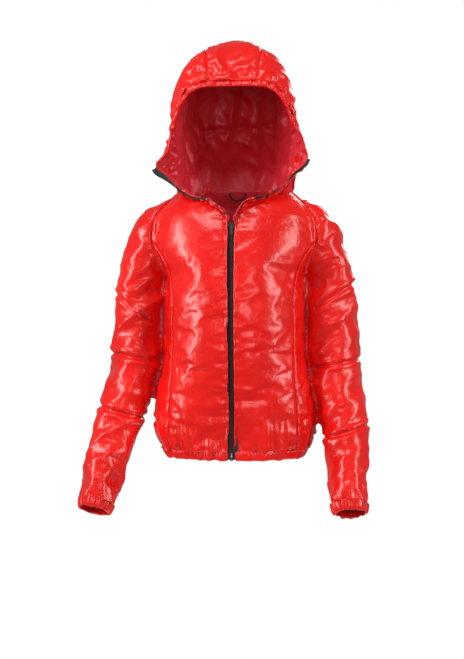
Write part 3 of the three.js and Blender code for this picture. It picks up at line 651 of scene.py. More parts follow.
red_nylon = cloth_material("red nylon", (0.72, 0.005, 0.004), (0.86, 0.009, 0.006), 0.26, 52, 0.42, coat=0.25,
                           tint=(1, 0.72, 0.68))
crimson = cloth_material("crimson lining", (0.58, 0.014, 0.024), (0.68, 0.020, 0.032), 0.32, 24, 0.45,
                         sheen=0.1, tint=(1, 0.45, 0.55))
black_tape = cloth_material("black tape", (0.006, 0.008, 0.008), (0.010, 0.013, 0.013), 0.62, 300, 0.2)
black_teeth = cloth_material("black teeth", (0.010, 0.012, 0.012), (0.016, 0.018, 0.018), 0.36, 200, 0.05)
red_thread = cloth_material("red thread", (0.34, 0.004, 0.004), (0.45, 0.006, 0.005), 0.55, 500, 0.1)
print("finishes:", [m.name for m in (red_nylon, crimson, black_tape, black_teeth, red_thread)])

# %% [markdown]
# ## Body and sleeve panels
# The skin is shared out: every face belongs to the panel that its middle lies in, and the corner points
# between two panels are drawn exactly onto the seam. Each panel then gets its thickness inward: shell
# and wadding together, a padded piece with closed edges.

# %% Share out the skin
def faces_of(piece):
    corners = np.empty(len(piece.data.loops), int)
    piece.data.loops.foreach_get("vertex_index", corners)
    return corners.reshape(-1, 4)


def part_of_mesh(name, points, faces, material):
    used, index = np.unique(faces, return_inverse=True)
    return mesh_object(name, points[used], index.reshape(faces.shape), material)


FIRST_SLEEVE = 5


def panel_numbers(middles):
    """0 back, 1 and 2 fronts, 3 and 4 side panels, 5 and 6 sleeves; odd is the wearer's left."""
    x, y, z = middles.T
    right = (x < 0).astype(int)
    front = (y < 0) & (abs(x) < along(princess, z))
    back = (y >= 0) & (abs(x) < along(back_seam, z))
    on_body = np.where(front, 1 + right, np.where(back, 0, 3 + right))
    return np.where(is_arm(middles), FIRST_SLEEVE + right, on_body)


def panels_at(points, faces, numbers):
    """The lowest and highest panel number among the faces round each point."""
    low, high = np.full(len(points), 9), np.full(len(points), -1)
    for corner in range(4):
        np.minimum.at(low, faces[:, corner], numbers)
        np.maximum.at(high, faces[:, corner], numbers)
    return low, high


def draw_to_seams(points, faces, numbers):
    """Moves the points that two panels share sideways onto the seam between them."""
    low, high = panels_at(points, faces, numbers)
    shared = np.nonzero(low < high)[0]
    x, y, z = points[shared].T
    body_line = np.where(y < 0, along(princess, z), along(back_seam, z))
    on_sleeve = high[shared] >= FIRST_SLEEVE
    line = np.where(on_sleeve, along(raglan, z), body_line)
    near = (abs(abs(x) - line) < 6) & (~on_sleeve | (z > ARMPIT))
    points[shared[near], 0] = (np.sign(x) * line)[near]


def thicken(piece, thick):
    apply_modifier(piece, "SOLIDIFY", thickness=thick * MM, offset=-1, use_rim=True)


SHELL_THICK, HOOD_THICK, FLAP_THICK, LINING_THICK = 2.6, 2.2, 2.0, 0.8
fine, faces = points_of(skin), faces_of(skin)
numbers = panel_numbers(fine[faces].mean(1))
draw_to_seams(fine, faces, numbers)
PANELS = ["back", "front_left", "front_right", "side_panel_left", "side_panel_right", "sleeve_left",
          "sleeve_right"]
panels = {}
for number, name in enumerate(PANELS):
    panels[name] = part_of_mesh(name + "_padded", fine, faces[numbers == number], red_nylon)
    thicken(panels[name], SHELL_THICK)
    print(name, len(panels[name].data.polygons), "faces")

# %% [markdown]
# ## Lining of body and sleeves
# The lining is cut smaller than the shell and hangs inside it, so it is the same skin with a coarser
# grain, not swollen, sunk by the thickness of the padding and with a few loose folds of its own. It lies
# closer to the shell at the nape. Its faces look inward.

# %% Lining
LINING_IN = 10


LINING_GRAIN = 8.0
coarse = fused("lining base", body_and_sleeves("lining ", (60, 14), (32, 16)), LINING_GRAIN, 6)
cut_openings(coarse)
apply_modifier(coarse, "SMOOTH", factor=0.5, iterations=2)
points, normals = points_of(coarse), normals_of(coarse)
at_nape = smooth(-60, -25, points[:, 2]) * smooth(0, 30, points[:, 1])
loose = 2.0 * ridges(points, 60, 31, (1, 1, 2)) * smooth(HEM, -560, points[:, 2]) * (1 - at_nape)
sunk = points - normals * (LINING_IN - 4 * at_nape - loose)[:, None]
mesh = bmesh.new()
mesh.from_mesh(coarse.data)
bmesh.ops.reverse_faces(mesh, faces=mesh.faces)
corners = np.array([[v.index for v in f.verts] for f in mesh.faces if len(f.verts) == 4])
mesh.free()
linings = {}
kinds = panel_numbers(points[corners].mean(1))
for name, wanted in (("lining_body", kinds < 5), ("lining_sleeve_left", kinds == 5),
                     ("lining_sleeve_right", kinds == 6)):
    linings[name] = part_of_mesh(name + "_sheet", sunk, corners[wanted], crimson)
    thicken(linings[name], LINING_THICK)
print("lining:", [len(p.data.polygons) for p in linings.values()])

# %% [markdown]
# ## Hood
# The hood is three panels sewn over the head. Its shape is a fan of arches from the front edge to the
# nape; each arch is a squared half oval with cheeks that swell. A dense grid is read from a few arches
# and then spaced evenly along the cloth, so that its folds have the same grain everywhere.

# %% Hood surface
arches = [(-38, -108, BRIM_TOP, 116, 22), (-27, -72, 300, 125, 20), (-8, -5, HOOD_TOP, 131, 17),
          (10, 58, 322, 129, 15), (28, 104, 262, 118, 12), (46, 120, 148, 96, 8), (62, 76, 22, 56, 2)]
arch_spots = (0, 0.17, 0.35, 0.52, 0.68, 0.84, 1)
hood_line = [(-40, 46), (120, 50), (217, 52), (298, 62), (368, 66)]
BRIM = 15


def resample(line, count, start=0.0):
    """Points evenly spaced along each line of an array (points, ..., 3), from start millimetres on."""
    steps = np.linalg.norm(np.diff(line, axis=0), axis=-1)
    run = np.concatenate([np.zeros((1, *steps.shape[1:])), np.cumsum(steps, axis=0)])
    out = np.empty((count, *line.shape[1:]))
    for k in range(line.shape[1]):
        at = np.linspace(start, run[-1, k], count)
        for axis in range(3):
            out[:, k, axis] = np.interp(at, run[:, k], line[:, k, axis])
    return out


def neck_oval(x, y, front):
    """How far to stretch (x, y) sideways to reach the neck seam."""
    z = NECK_SLOPE * y + NECK_Z
    deep = np.where(front, along(body_front, z), along(body_back, z))
    return (abs(x / along(body_half, z)) ** 2.4 + abs(y / deep) ** 2.4) ** (-1 / 2.4)


def hood_surface(rows, columns):
    u = np.linspace(0, 1, rows)[:, None]
    foot_y, top_y, top_z, wide, belly = [along(list(zip(arch_spots, c)), u) for c in zip(*arches)]
    turn = np.linspace(0, np.pi, 500)[None]
    power = 2 / (5.5 - 2.6 * smooth(0, 0.35, u))
    rise, cos = np.sin(turn).clip(0) ** power, np.cos(turn)
    x = np.sign(cos) * abs(cos) ** power * (wide + 4 * belly * rise * (1 - rise))
    stretch = neck_oval(wide, foot_y, foot_y < 0)
    grow = 1 + (stretch - 1) * (1 - rise) ** 2
    y = foot_y * (1 + (stretch - 1) * (1 - rise)) * (1 - rise) + top_y * rise
    z = (NECK_SLOPE * foot_y * stretch + NECK_Z - 2) * (1 - rise) + top_z * rise
    x = x * grow
    pull = smooth(150, 55, z) * (1 - u / 0.3).clip(0, 1) * (-14 - y[:1])
    y = y + np.where(y[:1] < -14, pull, 0)
    shut = smooth(0.88, 1, u)
    nape = 72 * (1 - (abs(x) / 134).clip(0, 1) ** 2.4) ** (1 / 2.4)
    y = y * (1 - shut) + nape * shut
    z = z * (1 - shut) + (NECK_SLOPE * nape + NECK_Z - 2) * shut
    grid = np.stack([x, y, z], -1)
    return resample(grid.transpose(1, 0, 2), columns).transpose(1, 0, 2)


def grid_normals(grid, heart):
    across = np.gradient(grid, axis=1)
    down = np.gradient(grid, axis=0)
    normal = np.cross(across, down)
    normal /= np.linalg.norm(normal, axis=-1, keepdims=True) + 1e-9
    away = ((grid - heart) * normal).sum(-1).sum() < 0
    return -normal if away else normal


HOOD_HEART = np.array([0, 0, 110])
whole = hood_surface(260, 170)
print("hood:", whole.reshape(-1, 3).min(0).round(), whole.reshape(-1, 3).max(0).round())


# %% Hood panels
def wound(rows, columns, grid, heart, inward=False):
    """Faces of a grid, turned so that they point away from the heart, or towards it."""
    faces = np.array(grid_faces(rows, columns))
    a, b, c, _ = grid.reshape(-1, 3)[faces].transpose(1, 0, 2)
    out = (np.cross(b - a, c - a) * (a - heart)).sum() > 0
    return faces if out != inward else faces[:, ::-1]


ROWS, COLUMNS = 88, 170
cloth_rows = resample(whole, ROWS, BRIM)
hood_faces = wound(ROWS, COLUMNS, cloth_rows, HOOD_HEART)
hood = mesh_object("hood", cloth_rows.reshape(-1, 3), hood_faces)
points, normals = points_of(hood), normals_of(hood)
seam_gap = abs(abs(points[:, 0]) - along(hood_line, points[:, 2]))
rim = np.zeros(len(points))
rim[open_edges(hood)] = 1
brim_gap = np.linalg.norm(cloth_rows - cloth_rows[:1], axis=-1).reshape(-1)
folds = (1.7 * ridges(points, 85, 41, (1.6, 1, 1)) + 0.6 * ridges(points, 42, 42)) * smooth(3, 30, seam_gap)
folds += 3.0 * waves(points * (1, 0.1, 1), 22, 43) * np.exp(-brim_gap / 26)
set_points(hood, points + normals * (folds * (1 - rim))[:, None])
swell(hood, np.maximum(rim, 0.85 * (1 - smooth(3, 9, seam_gap))), pressure=1.0, slack=0.03, frames=10,
      limit=8)
apply_modifier(hood, "SUBSURF", levels=1, render_levels=1)
points, normals, faces = points_of(hood), normals_of(hood), faces_of(hood)
seam_gap = abs(abs(points[:, 0]) - along(hood_line, points[:, 2]))
puckers = 0.9 * waves(points, 18, 44, (1, 2.5, 1)) * smooth(1, 7, seam_gap) * (1 - smooth(9, 28, seam_gap))
points += normals * (puckers - 2.4 * bump_at(seam_gap, GROOVE_WIDE))[:, None]
middles = points[faces].mean(1)
sides = np.where(abs(middles[:, 0]) < along(hood_line, middles[:, 2]), 0, np.where(middles[:, 0] > 0, 1, 2))
low, high = panels_at(points, faces, sides)
shared = low < high
points[shared, 0] = np.sign(points[shared, 0]) * along(hood_line, points[shared, 2])
for number, name in enumerate(("hood_centre", "hood_side_left", "hood_side_right")):
    panels[name] = part_of_mesh(name + "_padded", points, faces[sides == number], red_nylon)
    thicken(panels[name], HOOD_THICK)
    print(name, len(panels[name].data.polygons), "faces")

# %% Hood lining
lining_rows = resample(whole, 96, BRIM - 3)
inner_normals = grid_normals(lining_rows, HOOD_HEART)
flat = lining_rows.reshape(-1, 3)
from_brim = np.linalg.norm(lining_rows - lining_rows[:1], axis=-1)
from_neck = lining_rows[..., 2] - (NECK_SLOPE * lining_rows[..., 1] + NECK_Z)
inset = 4 + 1.5 * smooth(0, 12, from_brim) + 7.5 * smooth(0, 45, from_brim) * smooth(-5, 30, from_neck)
loose = (3.4 * ridges(flat, 95, 51, (0.7, 1, 3.2)) + 1.8 * ridges(flat @ LEAN, 52, 52, (1, 1, 2.6))
         + 0.5 * waves(flat, 24, 53)).reshape(inset.shape)
sag = 7 * bump_at(flat[:, 2] - 158 - 0.06 * flat[:, 0], 8).reshape(inset.shape)
sag *= smooth(110, 70, abs(lining_rows[..., 0])) * (lining_rows[..., 1] > 20)
inset = inset - (loose - 2) * smooth(0, 30, from_brim) * smooth(0, 50, from_neck) + sag
hanging = 28 * (1 - smooth(0, 34, from_neck)) * smooth(-20, 5, lining_rows[..., 1])
lining_grid = lining_rows - inner_normals * inset[..., None]
lining_grid[..., 2] -= hanging
below = (NECK_SLOPE * lining_grid[..., 1] + NECK_Z - 12 - lining_grid[..., 2]).clip(0, 20)
lining_grid[..., :2] *= 1 + 0.004 * below[..., None]
lining_hood = mesh_object("lining_hood_sheet", lining_grid.reshape(-1, 3),
                          wound(96, COLUMNS, lining_rows, HOOD_HEART, inward=True), crimson)
thicken(lining_hood, LINING_THICK)
linings["lining_hood"] = lining_hood
print("hood lining:", len(lining_hood.data.polygons), "faces")

# %% [markdown]
# ## Elastic casings
# A casing is a hem folded over an elastic: a flat sausage of cloth, gathered into small pleats. The
# same function makes the hem, both cuffs and the hood's front edge from two lines: the seam that it is
# sewn to and the edge where it folds.

# %% Casings
def casing(name, seam, edge, outward, closed, thick, pleat, seed):
    count, around = len(seam), 18
    turn = np.arange(around) * 2 * np.pi / around
    c = np.sign(np.cos(turn)) * abs(np.cos(turn)) ** 0.75
    s = np.sign(np.sin(turn)) * abs(np.sin(turn)) ** 0.85
    gather = waves((seam + edge) / 2, 20, seed)[:, None]
    fine_gather = waves((seam + edge) / 2, 9, seed + 1)[:, None]
    middle = (seam + edge) / 2 - outward * (thick / 2 - pleat * gather)
    half = (edge - seam) / 2 * (1 + 0.10 * gather)
    deep = outward * thick / 2 * (1 + 0.35 * gather + 0.15 * fine_gather)
    rows = middle[:, None] + half[:, None] * c[None, :, None] + deep[:, None] * s[None, :, None]
    points = rows.reshape(-1, 3)
    faces = grid_faces(count, around, closed=True)
    if closed:
        faces += [((count - 1) * around + i, (count - 1) * around + (i + 1) % around, (i + 1) % around, i)
                  for i in range(around)]
    else:
        faces += [tuple(range(around)), tuple((count - 1) * around + i for i in reversed(range(around)))]
    piece = turn_outward(mesh_object(name, points, faces, red_nylon))
    apply_modifier(piece, "SUBSURF", levels=1, render_levels=1)
    return piece


def even_line(points, count):
    return resample(points[:, None], count)[:, 0]


def hem_line(z, count):
    ring = body_ring(z, 720)
    start = int(np.argmin(abs(ring[:, 0] - 6.6) + (ring[:, 1] > 0) * 999))
    ring = np.roll(ring, -start, axis=0)
    ring = ring[(abs(ring[:, 0]) > 6.5) | (ring[:, 1] > 0)]
    return even_line(ring, count)


seam, edge = hem_line(HEM_SEAM + 2.5, 420), hem_line(HEM, 420)
outward = seam * (1, 1, 0)
outward /= np.linalg.norm(outward, axis=1)[:, None]
casings = {"hem_casing": casing("hem_casing_folded", seam, edge, outward, False, 8, 1.8, 61)}
for side in arms:
    seam, edge = sleeve_ring(side, SLEEVE - CUFF - 2, 150), sleeve_ring(side, SLEEVE, 150)
    outward = seam - seam.mean(0)
    outward /= np.linalg.norm(outward, axis=1)[:, None]
    name = "cuff_casing_" + side
    casings[name] = casing(name + "_folded", seam, edge, outward, True, 7, 1.5, 63)
BRIM_END = 122
front_edge, brim_seam = whole[0], resample(whole, 120, BRIM)[0]
brim_out = grid_normals(whole, HOOD_HEART)[6]
shown = front_edge[:, 2] > BRIM_END
seam, edge, outward = (even_line(line[shown], 260)
                       for line in (brim_seam, front_edge, brim_out))
outward /= np.linalg.norm(outward, axis=1)[:, None]
casings["brim_casing"] = casing("brim_casing_folded", seam, edge, outward, False, 7, 1.2, 65)
print("casings:", {name: len(piece.data.polygons) for name, piece in casings.items()})

# %% [markdown]
# ## The opened collar
# Above the slider the two front edges fold outward and lie over the shoulders, so the crimson side
# shows. Each flap is one soft surface between two lines: the zip edge with the free edge above it, and
# the line where the flap passes into the throat and the hood. The zip runs along the first line up to the
# corner, so the line is kept with the number of its corner point.

# %% Collar edges
flap_depth = [(0, -118), (12, -119), (20, -114), (40, -106), (66, -95), (98, -82), (128, -74), (170, -66)]
free_edges = {
    "left": ([(3, -83), (9, -68), (17, -53), (26, -41), (38, -32), (61, -28), (82, -18), (104, -6),
              (132, 23), (166, 60)], [(161, 80), (155, 101), (147, 120), (143, 136)]),
    "right": ([(3, -83), (9, -72), (17, -62), (31, -46), (45, -37), (61, -30), (85, -27), (109, -15),
               (130, 2), (152, 24), (174, 46)], [(161, 62), (146, 78), (140, 98), (138, 124)]),
}
throat_line = [(2, -97, -81), (12, -90, -66), (28, -82, -52), (48, -68, -42), (72, -50, -30),
               (98, -30, -16), (116, -14, 2), (122, -10, 40), (125, -12, 80), (129, -36, 110),
               (133, -70, 132)]
FLAP_COLUMNS, FLAP_ROWS = 130, 34
FLAP_HEART = np.array([0, 900, -500])
SHELL_BEHIND = 3.0


def smooth_line(points, count):
    """A smooth line through chosen points, evenly spaced."""
    points = np.array(points, float)
    steps = np.concatenate([[0], np.cumsum(np.linalg.norm(np.diff(points, axis=0), axis=1))])
    run = np.linspace(0, steps[-1], 400)
    dense = np.stack([along(list(zip(steps, points[:, k])), run) for k in range(3)], 1)
    return even_line(dense, count)


def flap_edges(side):
    sign = arms[side][0]
    zip_edge, free_edge = free_edges[side]
    full = [(x, float(along(flap_depth, x)) - 0.14 * max(z - 40, 0), z) for x, z in zip_edge + free_edge]
    outer = smooth_line(full, FLAP_COLUMNS)
    inner = smooth_line(throat_line, FLAP_COLUMNS)
    tip = int(np.argmin(np.linalg.norm(outer - full[len(zip_edge) - 1], axis=1)))
    return outer * (sign, 1, 1), inner * (sign, 1, 1), tip


def flap_grid(side, behind=0.0):
    outer, inner, tip = flap_edges(side)
    t = np.linspace(0, 1, FLAP_ROWS)[:, None, None]
    grid = outer * (1 - t) + inner * t
    width = np.linalg.norm(outer - inner, axis=1)[None, :, None]
    up = np.array([0.25 * arms[side][0], -0.75, 0.55])
    grid = grid + up * np.sin(np.pi * t ** 0.8) * width * 0.16
    normal = grid_normals(grid, FLAP_HEART)
    inside = (np.sin(np.pi * t[..., 0]) ** 0.6) * smooth(4, 40, width[..., 0])
    flat = grid.reshape(-1, 3)
    lift = 3.6 * ridges(flat, 62, 71, (1.2, 1, 0.8)) + 2.2 * ridges(flat, 34, 72) + waves(flat, 17, 73)
    return grid + normal * (lift.reshape(inside.shape) * inside - behind)[..., None]


flaps, flap_lines = {}, {}
for side in arms:
    lining_side = flap_grid(side)
    faces = wound(FLAP_ROWS, FLAP_COLUMNS, lining_side, FLAP_HEART)
    shell_side = flap_grid(side, behind=SHELL_BEHIND)
    for name, made, grid, turned_faces, finish, thick in (
            ("flap_lining_", "collar_lining_" + side, lining_side, faces, crimson, LINING_THICK),
            ("flap_", "collar_flap_" + side + "_padded", shell_side, faces[:, ::-1], red_nylon, FLAP_THICK)):
        flaps[name + side] = mesh_object(made, grid.reshape(-1, 3), turned_faces, finish)
        apply_modifier(flaps[name + side], "SUBSURF", levels=1, render_levels=1)
        thicken(flaps[name + side], thick)
    outer, _, tip = flap_edges(side)
    flap_lines[side] = outer[:tip + 1]
    print("flap", side, len(flaps["flap_" + side].data.polygons), "faces, zip edge",
          round(float(np.linalg.norm(np.diff(flap_lines[side], axis=0), axis=1).sum())), "mm")

# %% [markdown]
# ## Things repeated along a line
# Stitches and zip teeth are one small shape placed again and again along a line. A Geometry Nodes tree
# does that: the line is made a curve, evenly spaced points are read from it, and the shape is placed on
# each, turned along the line. Realize Instances and Set Material end the tree.

# %% Geometry Nodes tree
def repeat_tree(name, shape):
    tree = bpy.data.node_groups.new(name, "GeometryNodeTree")
    tree.interface.new_socket("Line", in_out="INPUT", socket_type="NodeSocketGeometry")
    for title, kind in (("Spacing", "Float"), ("Size", "Vector"), ("Unevenness", "Float"),
                        ("Finish", "Material")):
        tree.interface.new_socket(title, in_out="INPUT", socket_type="NodeSocket" + kind)
    tree.interface.new_socket("Pieces", in_out="OUTPUT", socket_type="NodeSocketGeometry")
    start, end = tree.nodes.new("NodeGroupInput"), tree.nodes.new("NodeGroupOutput")

    def node(kind, links=None, **settings):
        made = tree.nodes.new(kind)
        for key, value in settings.items():
            setattr(made, key, value)
        for socket, source in (links or {}).items():
            tree.links.new(source, made.inputs[socket])
        return made

    curve = node("GeometryNodeMeshToCurve", {"Mesh": start.outputs["Line"]})
    spots = node("GeometryNodeCurveToPoints",
                 {"Curve": curve.outputs["Curve"], "Length": start.outputs["Spacing"]}, mode="LENGTH")
    uneven = node("FunctionNodeRandomValue", data_type="FLOAT_VECTOR")
    uneven.inputs["Seed"].default_value = 7
    spread = node("ShaderNodeVectorMath", {0: uneven.outputs[0], 3: start.outputs["Unevenness"]},
                  operation="SCALE")
    bigger = node("ShaderNodeVectorMath", {0: spread.outputs[0]}, operation="ADD")
    bigger.inputs[1].default_value = (1, 1, 1)
    size = node("ShaderNodeVectorMath", {0: start.outputs["Size"], 1: bigger.outputs[0]},
                operation="MULTIPLY")
    put = node("GeometryNodeInstanceOnPoints", {"Points": spots.outputs["Points"], "Scale": size.outputs[0],
                                                "Rotation": spots.outputs["Rotation"]})
    form = node(shape)
    if shape == "GeometryNodeMeshIcoSphere":
        form.inputs["Subdivisions"].default_value = 2
    tree.links.new(form.outputs["Mesh"], put.inputs["Instance"])
    whole_line = node("GeometryNodeRealizeInstances", {"Geometry": put.outputs["Instances"]})
    finish = node("GeometryNodeSetMaterial",
                  {"Geometry": whole_line.outputs[0], "Material": start.outputs["Finish"]})
    tree.links.new(finish.outputs["Geometry"], end.inputs["Pieces"])
    return tree


stitch_tree = repeat_tree("stitches along a line", "GeometryNodeMeshIcoSphere")
teeth_tree = repeat_tree("teeth along a line", "GeometryNodeMeshCube")


def repeated(name, lines, tree, spacing, size, finish, uneven=0.0):
    """One plain mesh with the tree's shape repeated along every line, in millimetres."""
    points = np.concatenate(lines)
    edges, start = [], 0
    for line in lines:
        edges += [(start + i, start + i + 1) for i in range(len(line) - 1)]
        start += len(line)
    mesh = bpy.data.meshes.new(name + " line")
    mesh.from_pydata([tuple(p) for p in points * MM], edges, [])
    carrier = bpy.data.objects.new(name + " line", mesh)
    bpy.context.collection.objects.link(carrier)
    modifier = carrier.modifiers.new("repeat", "NODES")
    modifier.node_group = tree
    values = {"Spacing": spacing * MM, "Size": [v * MM for v in size], "Unevenness": uneven,
              "Finish": finish}
    for socket in tree.interface.items_tree:
        if socket.in_out == "INPUT" and socket.name in values:
            modifier[socket.identifier] = values[socket.name]
    evaluated = carrier.evaluated_get(bpy.context.evaluated_depsgraph_get())
    made = bpy.data.objects.new(name, bpy.data.meshes.new_from_object(evaluated))
    bpy.context.collection.objects.link(made)
    bpy.data.objects.remove(carrier)
    print(name, len(made.data.polygons), "faces")
    return made


# %% [markdown]
# ## Front zip
# A black coil zip: two woven tapes sewn behind the front edges, a row of small teeth on the edge of
# each, a slider at the opening point with its pull, and at the foot a box with a pin. Above the slider
# the two halves part and follow the collar's edges.

# %% Tapes
TEETH_Y = -FRONT - 0.2
TEETH_STEP, TOOTH = 2.0, (2.9, 3.0, 1.15)


def ribbon(name, line, across, thick, material):
    """A woven strip from a line, as wide as the vector across, thin and closed."""
    across = np.broadcast_to(across, line.shape)
    steps = np.linspace(0, 1, 6)[:, None, None]
    grid = line[None] + across[None] * steps
    piece = mesh_object(name, grid.reshape(-1, 3), grid_faces(6, len(line)), material)
    apply_modifier(piece, "SOLIDIFY", thickness=thick * MM, offset=0, use_rim=True)
    return piece


zip_parts, chain_lines = {}, {}
straight_z = np.linspace(HEM + 3, ZIP_TOP - 2, 110)
for side, (sign, _) in arms.items():
    straight = np.stack([np.full(110, sign * 1.2), np.full(110, TEETH_Y + 2.2), straight_z], 1)
    name = "zip_tape_" + side
    zip_parts[name] = ribbon(name + "_woven", straight, (sign * 12.6, 0.6, 0), 0.7, black_tape)
    edge = flap_lines[side]
    share = np.linspace(0, 1, len(edge))[:, None]
    wide = smooth(0.72, 0.95, share) if side == "right" else smooth(0.8, 1.0, share) * 0.35
    across = np.array([sign * 2.0, 3.5, -2.5]) * (1 - wide) + np.array([sign * 7.5, -1.0, -9.5]) * wide
    across *= smooth(0, 0.05, share) * 0.7 + 0.3
    name = "collar_zip_tape_" + side
    zip_parts[name] = ribbon(name + "_woven", edge + (0, -0.6, 0.4), across, 0.9, black_tape)
    lead = np.array([(sign * 1.5, TEETH_Y, z) for z in (HEM + 12, ZIP_TOP - 12)])
    chain_lines[side] = [smooth_line(lead, 60), edge + across * 0.9 + np.array([0, -0.8, 0])]
for side in arms:
    name = "zip_chain_" + side
    zip_parts[name] = repeated(name + "_teeth", chain_lines[side], teeth_tree, TEETH_STEP, TOOTH, black_teeth)

# %% Stops, box and pin
def rounded_box(name, low, high, material, bevel=0.4):
    low, high = np.array(low, float), np.array(high, float)
    corners = [(x, y, z) for x in (low[0], high[0]) for y in (low[1], high[1]) for z in (low[2], high[2])]
    faces = [(0, 1, 3, 2), (4, 6, 7, 5), (0, 4, 5, 1), (2, 3, 7, 6), (0, 2, 6, 4), (1, 5, 7, 3)]
    piece = mesh_object(name, corners, faces, material)
    apply_modifier(piece, "BEVEL", width=bevel * MM, segments=3, limit_method="NONE")
    return piece


def box_of(node):
    """The two corners of a solid's box, in millimetres."""
    return [np.array(corner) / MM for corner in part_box(node)]


def joined(name, pieces):
    only(pieces[0])
    for piece in pieces:
        piece.select_set(True)
    bpy.ops.object.join()
    pieces[0].name = name
    return pieces[0]


STOP_HALF = np.array([2.2, 2, 2.5])
for side in arms:
    tip, name = chain_lines[side][1][-1], "zip_top_stop_" + side
    zip_parts[name] = rounded_box(name + "_moulded", tip - STOP_HALF, tip + STOP_HALF, black_teeth, 0.8)
for name, made in (("zip_retainer_box", "zip_box_moulded"), ("zip_pin", "zip_pin_moulded")):
    zip_parts[name] = rounded_box(made, *box_of(name), black_teeth, 0.5)

# %% Slider and pull
low, high = box_of("zip_slider")


def slider_plate(name, y0, y1):
    """The slider's shield: wide shoulders above, narrower below, rounded all round."""
    half_outline = [(0.62, 1), (1, 0.72), (1, 0.30), (0.66, -0.55), (0.58, -1)]
    outline = [(-0.62, 1)] + half_outline + [(-a, b) for a, b in half_outline[:0:-1]]
    middle, half = (low + high) / 2, (high - low) / 2
    points = [(middle[0] + a * half[0], y, middle[2] + b * half[2]) for y in (y0, y1) for a, b in outline]
    n = len(outline)
    faces = [tuple(range(n)), tuple(reversed(range(n, 2 * n)))]
    faces += [(i + n, (i + 1) % n + n, (i + 1) % n, i) for i in range(n)]
    piece = turn_outward(mesh_object(name, points, faces, black_teeth))
    apply_modifier(piece, "BEVEL", width=0.5 * MM, segments=3, limit_method="NONE")
    return piece


PLATE = 1.6
bridge = rounded_box("bridge", (-0.4, low[1] + 0.5, high[2] - 6), (0.4, high[1] - 0.5, high[2] - 0.3),
                     black_teeth, 0.2)
plates = [slider_plate("plate", low[1], low[1] + PLATE),
          slider_plate("back", high[1] - PLATE, high[1]), bridge]
slider = joined("zip_slider_moulded", plates)
low, high = box_of("zip_pull")
steps = np.linspace(0, 1, 18)
pull_wide = (high[0] - low[0]) / 2 * (0.62 + 0.38 * smooth(0.2, 0.6, steps))
pull_wide *= 1 - 0.35 * smooth(0.9, 1, steps)
pull_rows = [[(x * w, y, high[2] + (low[2] - high[2]) * t) for x, y in
              ((-1, low[1]), (1, low[1]), (1, high[1]), (-1, high[1]))] for w, t in zip(pull_wide, steps)]
pull_faces = grid_faces(18, 4, closed=True) + [(3, 2, 1, 0), (68, 69, 70, 71)]
pull = mesh_object("zip_pull_moulded", np.array(pull_rows).reshape(-1, 3), pull_faces, black_teeth)
apply_modifier(pull, "BEVEL", width=0.3 * MM, segments=2, limit_method="ANGLE")
turn_outward(pull)
print("slider and pull:", len(slider.data.polygons), len(pull.data.polygons), "faces")

# %% Wind guard behind the zip
guard_low, guard_high = box_of("wind_guard")
guard_z = np.linspace(guard_low[2], guard_high[2], 160)
guard_y = guard_low[1] + 1.2 * waves(np.stack([guard_z, guard_z * 0, guard_z * 0], 1), 60, 81)
guard_line = np.stack([np.full(160, guard_low[0]), guard_y, guard_z], 1)
wind_guard = ribbon("wind_guard_cloth", guard_line, (guard_high[0] - guard_low[0], 0, 0), 0.8, crimson)

# %% [markdown]
# ## Hanger loop
# A black cord sewn into the nape seam at both ends, hanging in a small bow: a round tube along the bow.

# %% Loop
loop_low, loop_high = box_of("hanger_loop")
LOOP_ROUND = 2.2
loop_half = (loop_high[0] - loop_low[0]) / 2 - LOOP_ROUND
loop_y = (loop_low[1] + loop_high[1]) / 2
bow = np.linspace(0, np.pi, 60)
bow_line = np.stack([-loop_half * np.cos(bow), np.full(60, loop_y),
                     loop_high[2] + (loop_low[2] + LOOP_ROUND - loop_high[2]) * np.sin(bow)], 1)
way = np.gradient(bow_line, axis=0)
way /= np.linalg.norm(way, axis=1)[:, None]
beside = np.cross(way, (0, 1, 0))
ring_turn = np.arange(14) * 2 * np.pi / 14
tube = (bow_line[:, None] + LOOP_ROUND * (np.cos(ring_turn)[None, :, None] * beside[:, None]
                                          + np.sin(ring_turn)[None, :, None] * np.array([0, 0.8, 0])))
tube_faces = grid_faces(60, 14, closed=True)
tube_faces += [tuple(range(13, -1, -1)), tuple(59 * 14 + i for i in range(14))]
hanger = turn_outward(mesh_object("hanger_loop_cord", tube.reshape(-1, 3), tube_faces, black_tape))
print("hanger loop:", len(hanger.data.polygons), "faces")

# %% [markdown]
# ## Topstitching
# Thread shows where a second row of stitches holds the cloth flat: along both front edges, above the
# hem casing, at the cuffs and behind the hood's front edge. Each guide line is laid on the cloth's
# nearest point first, so that every stitch sits on the surface.

# %% Stitch rows
STITCH = (0.34, 0.34, 1.25)


def laid_on(line, pieces, proud=0.15):
    """The line's points moved to the nearest point of the pieces' surface."""
    trees = []
    for piece in pieces:
        corners, polygons = piece.data.vertices, piece.data.polygons
        trees.append(BVHTree.FromPolygons([v.co[:] for v in corners], [f.vertices[:] for f in polygons]))
    out = []
    for point in line * MM:
        hits = [tree.find_nearest(Vector(point)) for tree in trees]
        spot, normal, _, _ = min(hits, key=lambda hit: hit[3])
        out.append((spot + normal * proud * MM) / MM)
    return np.array(out)


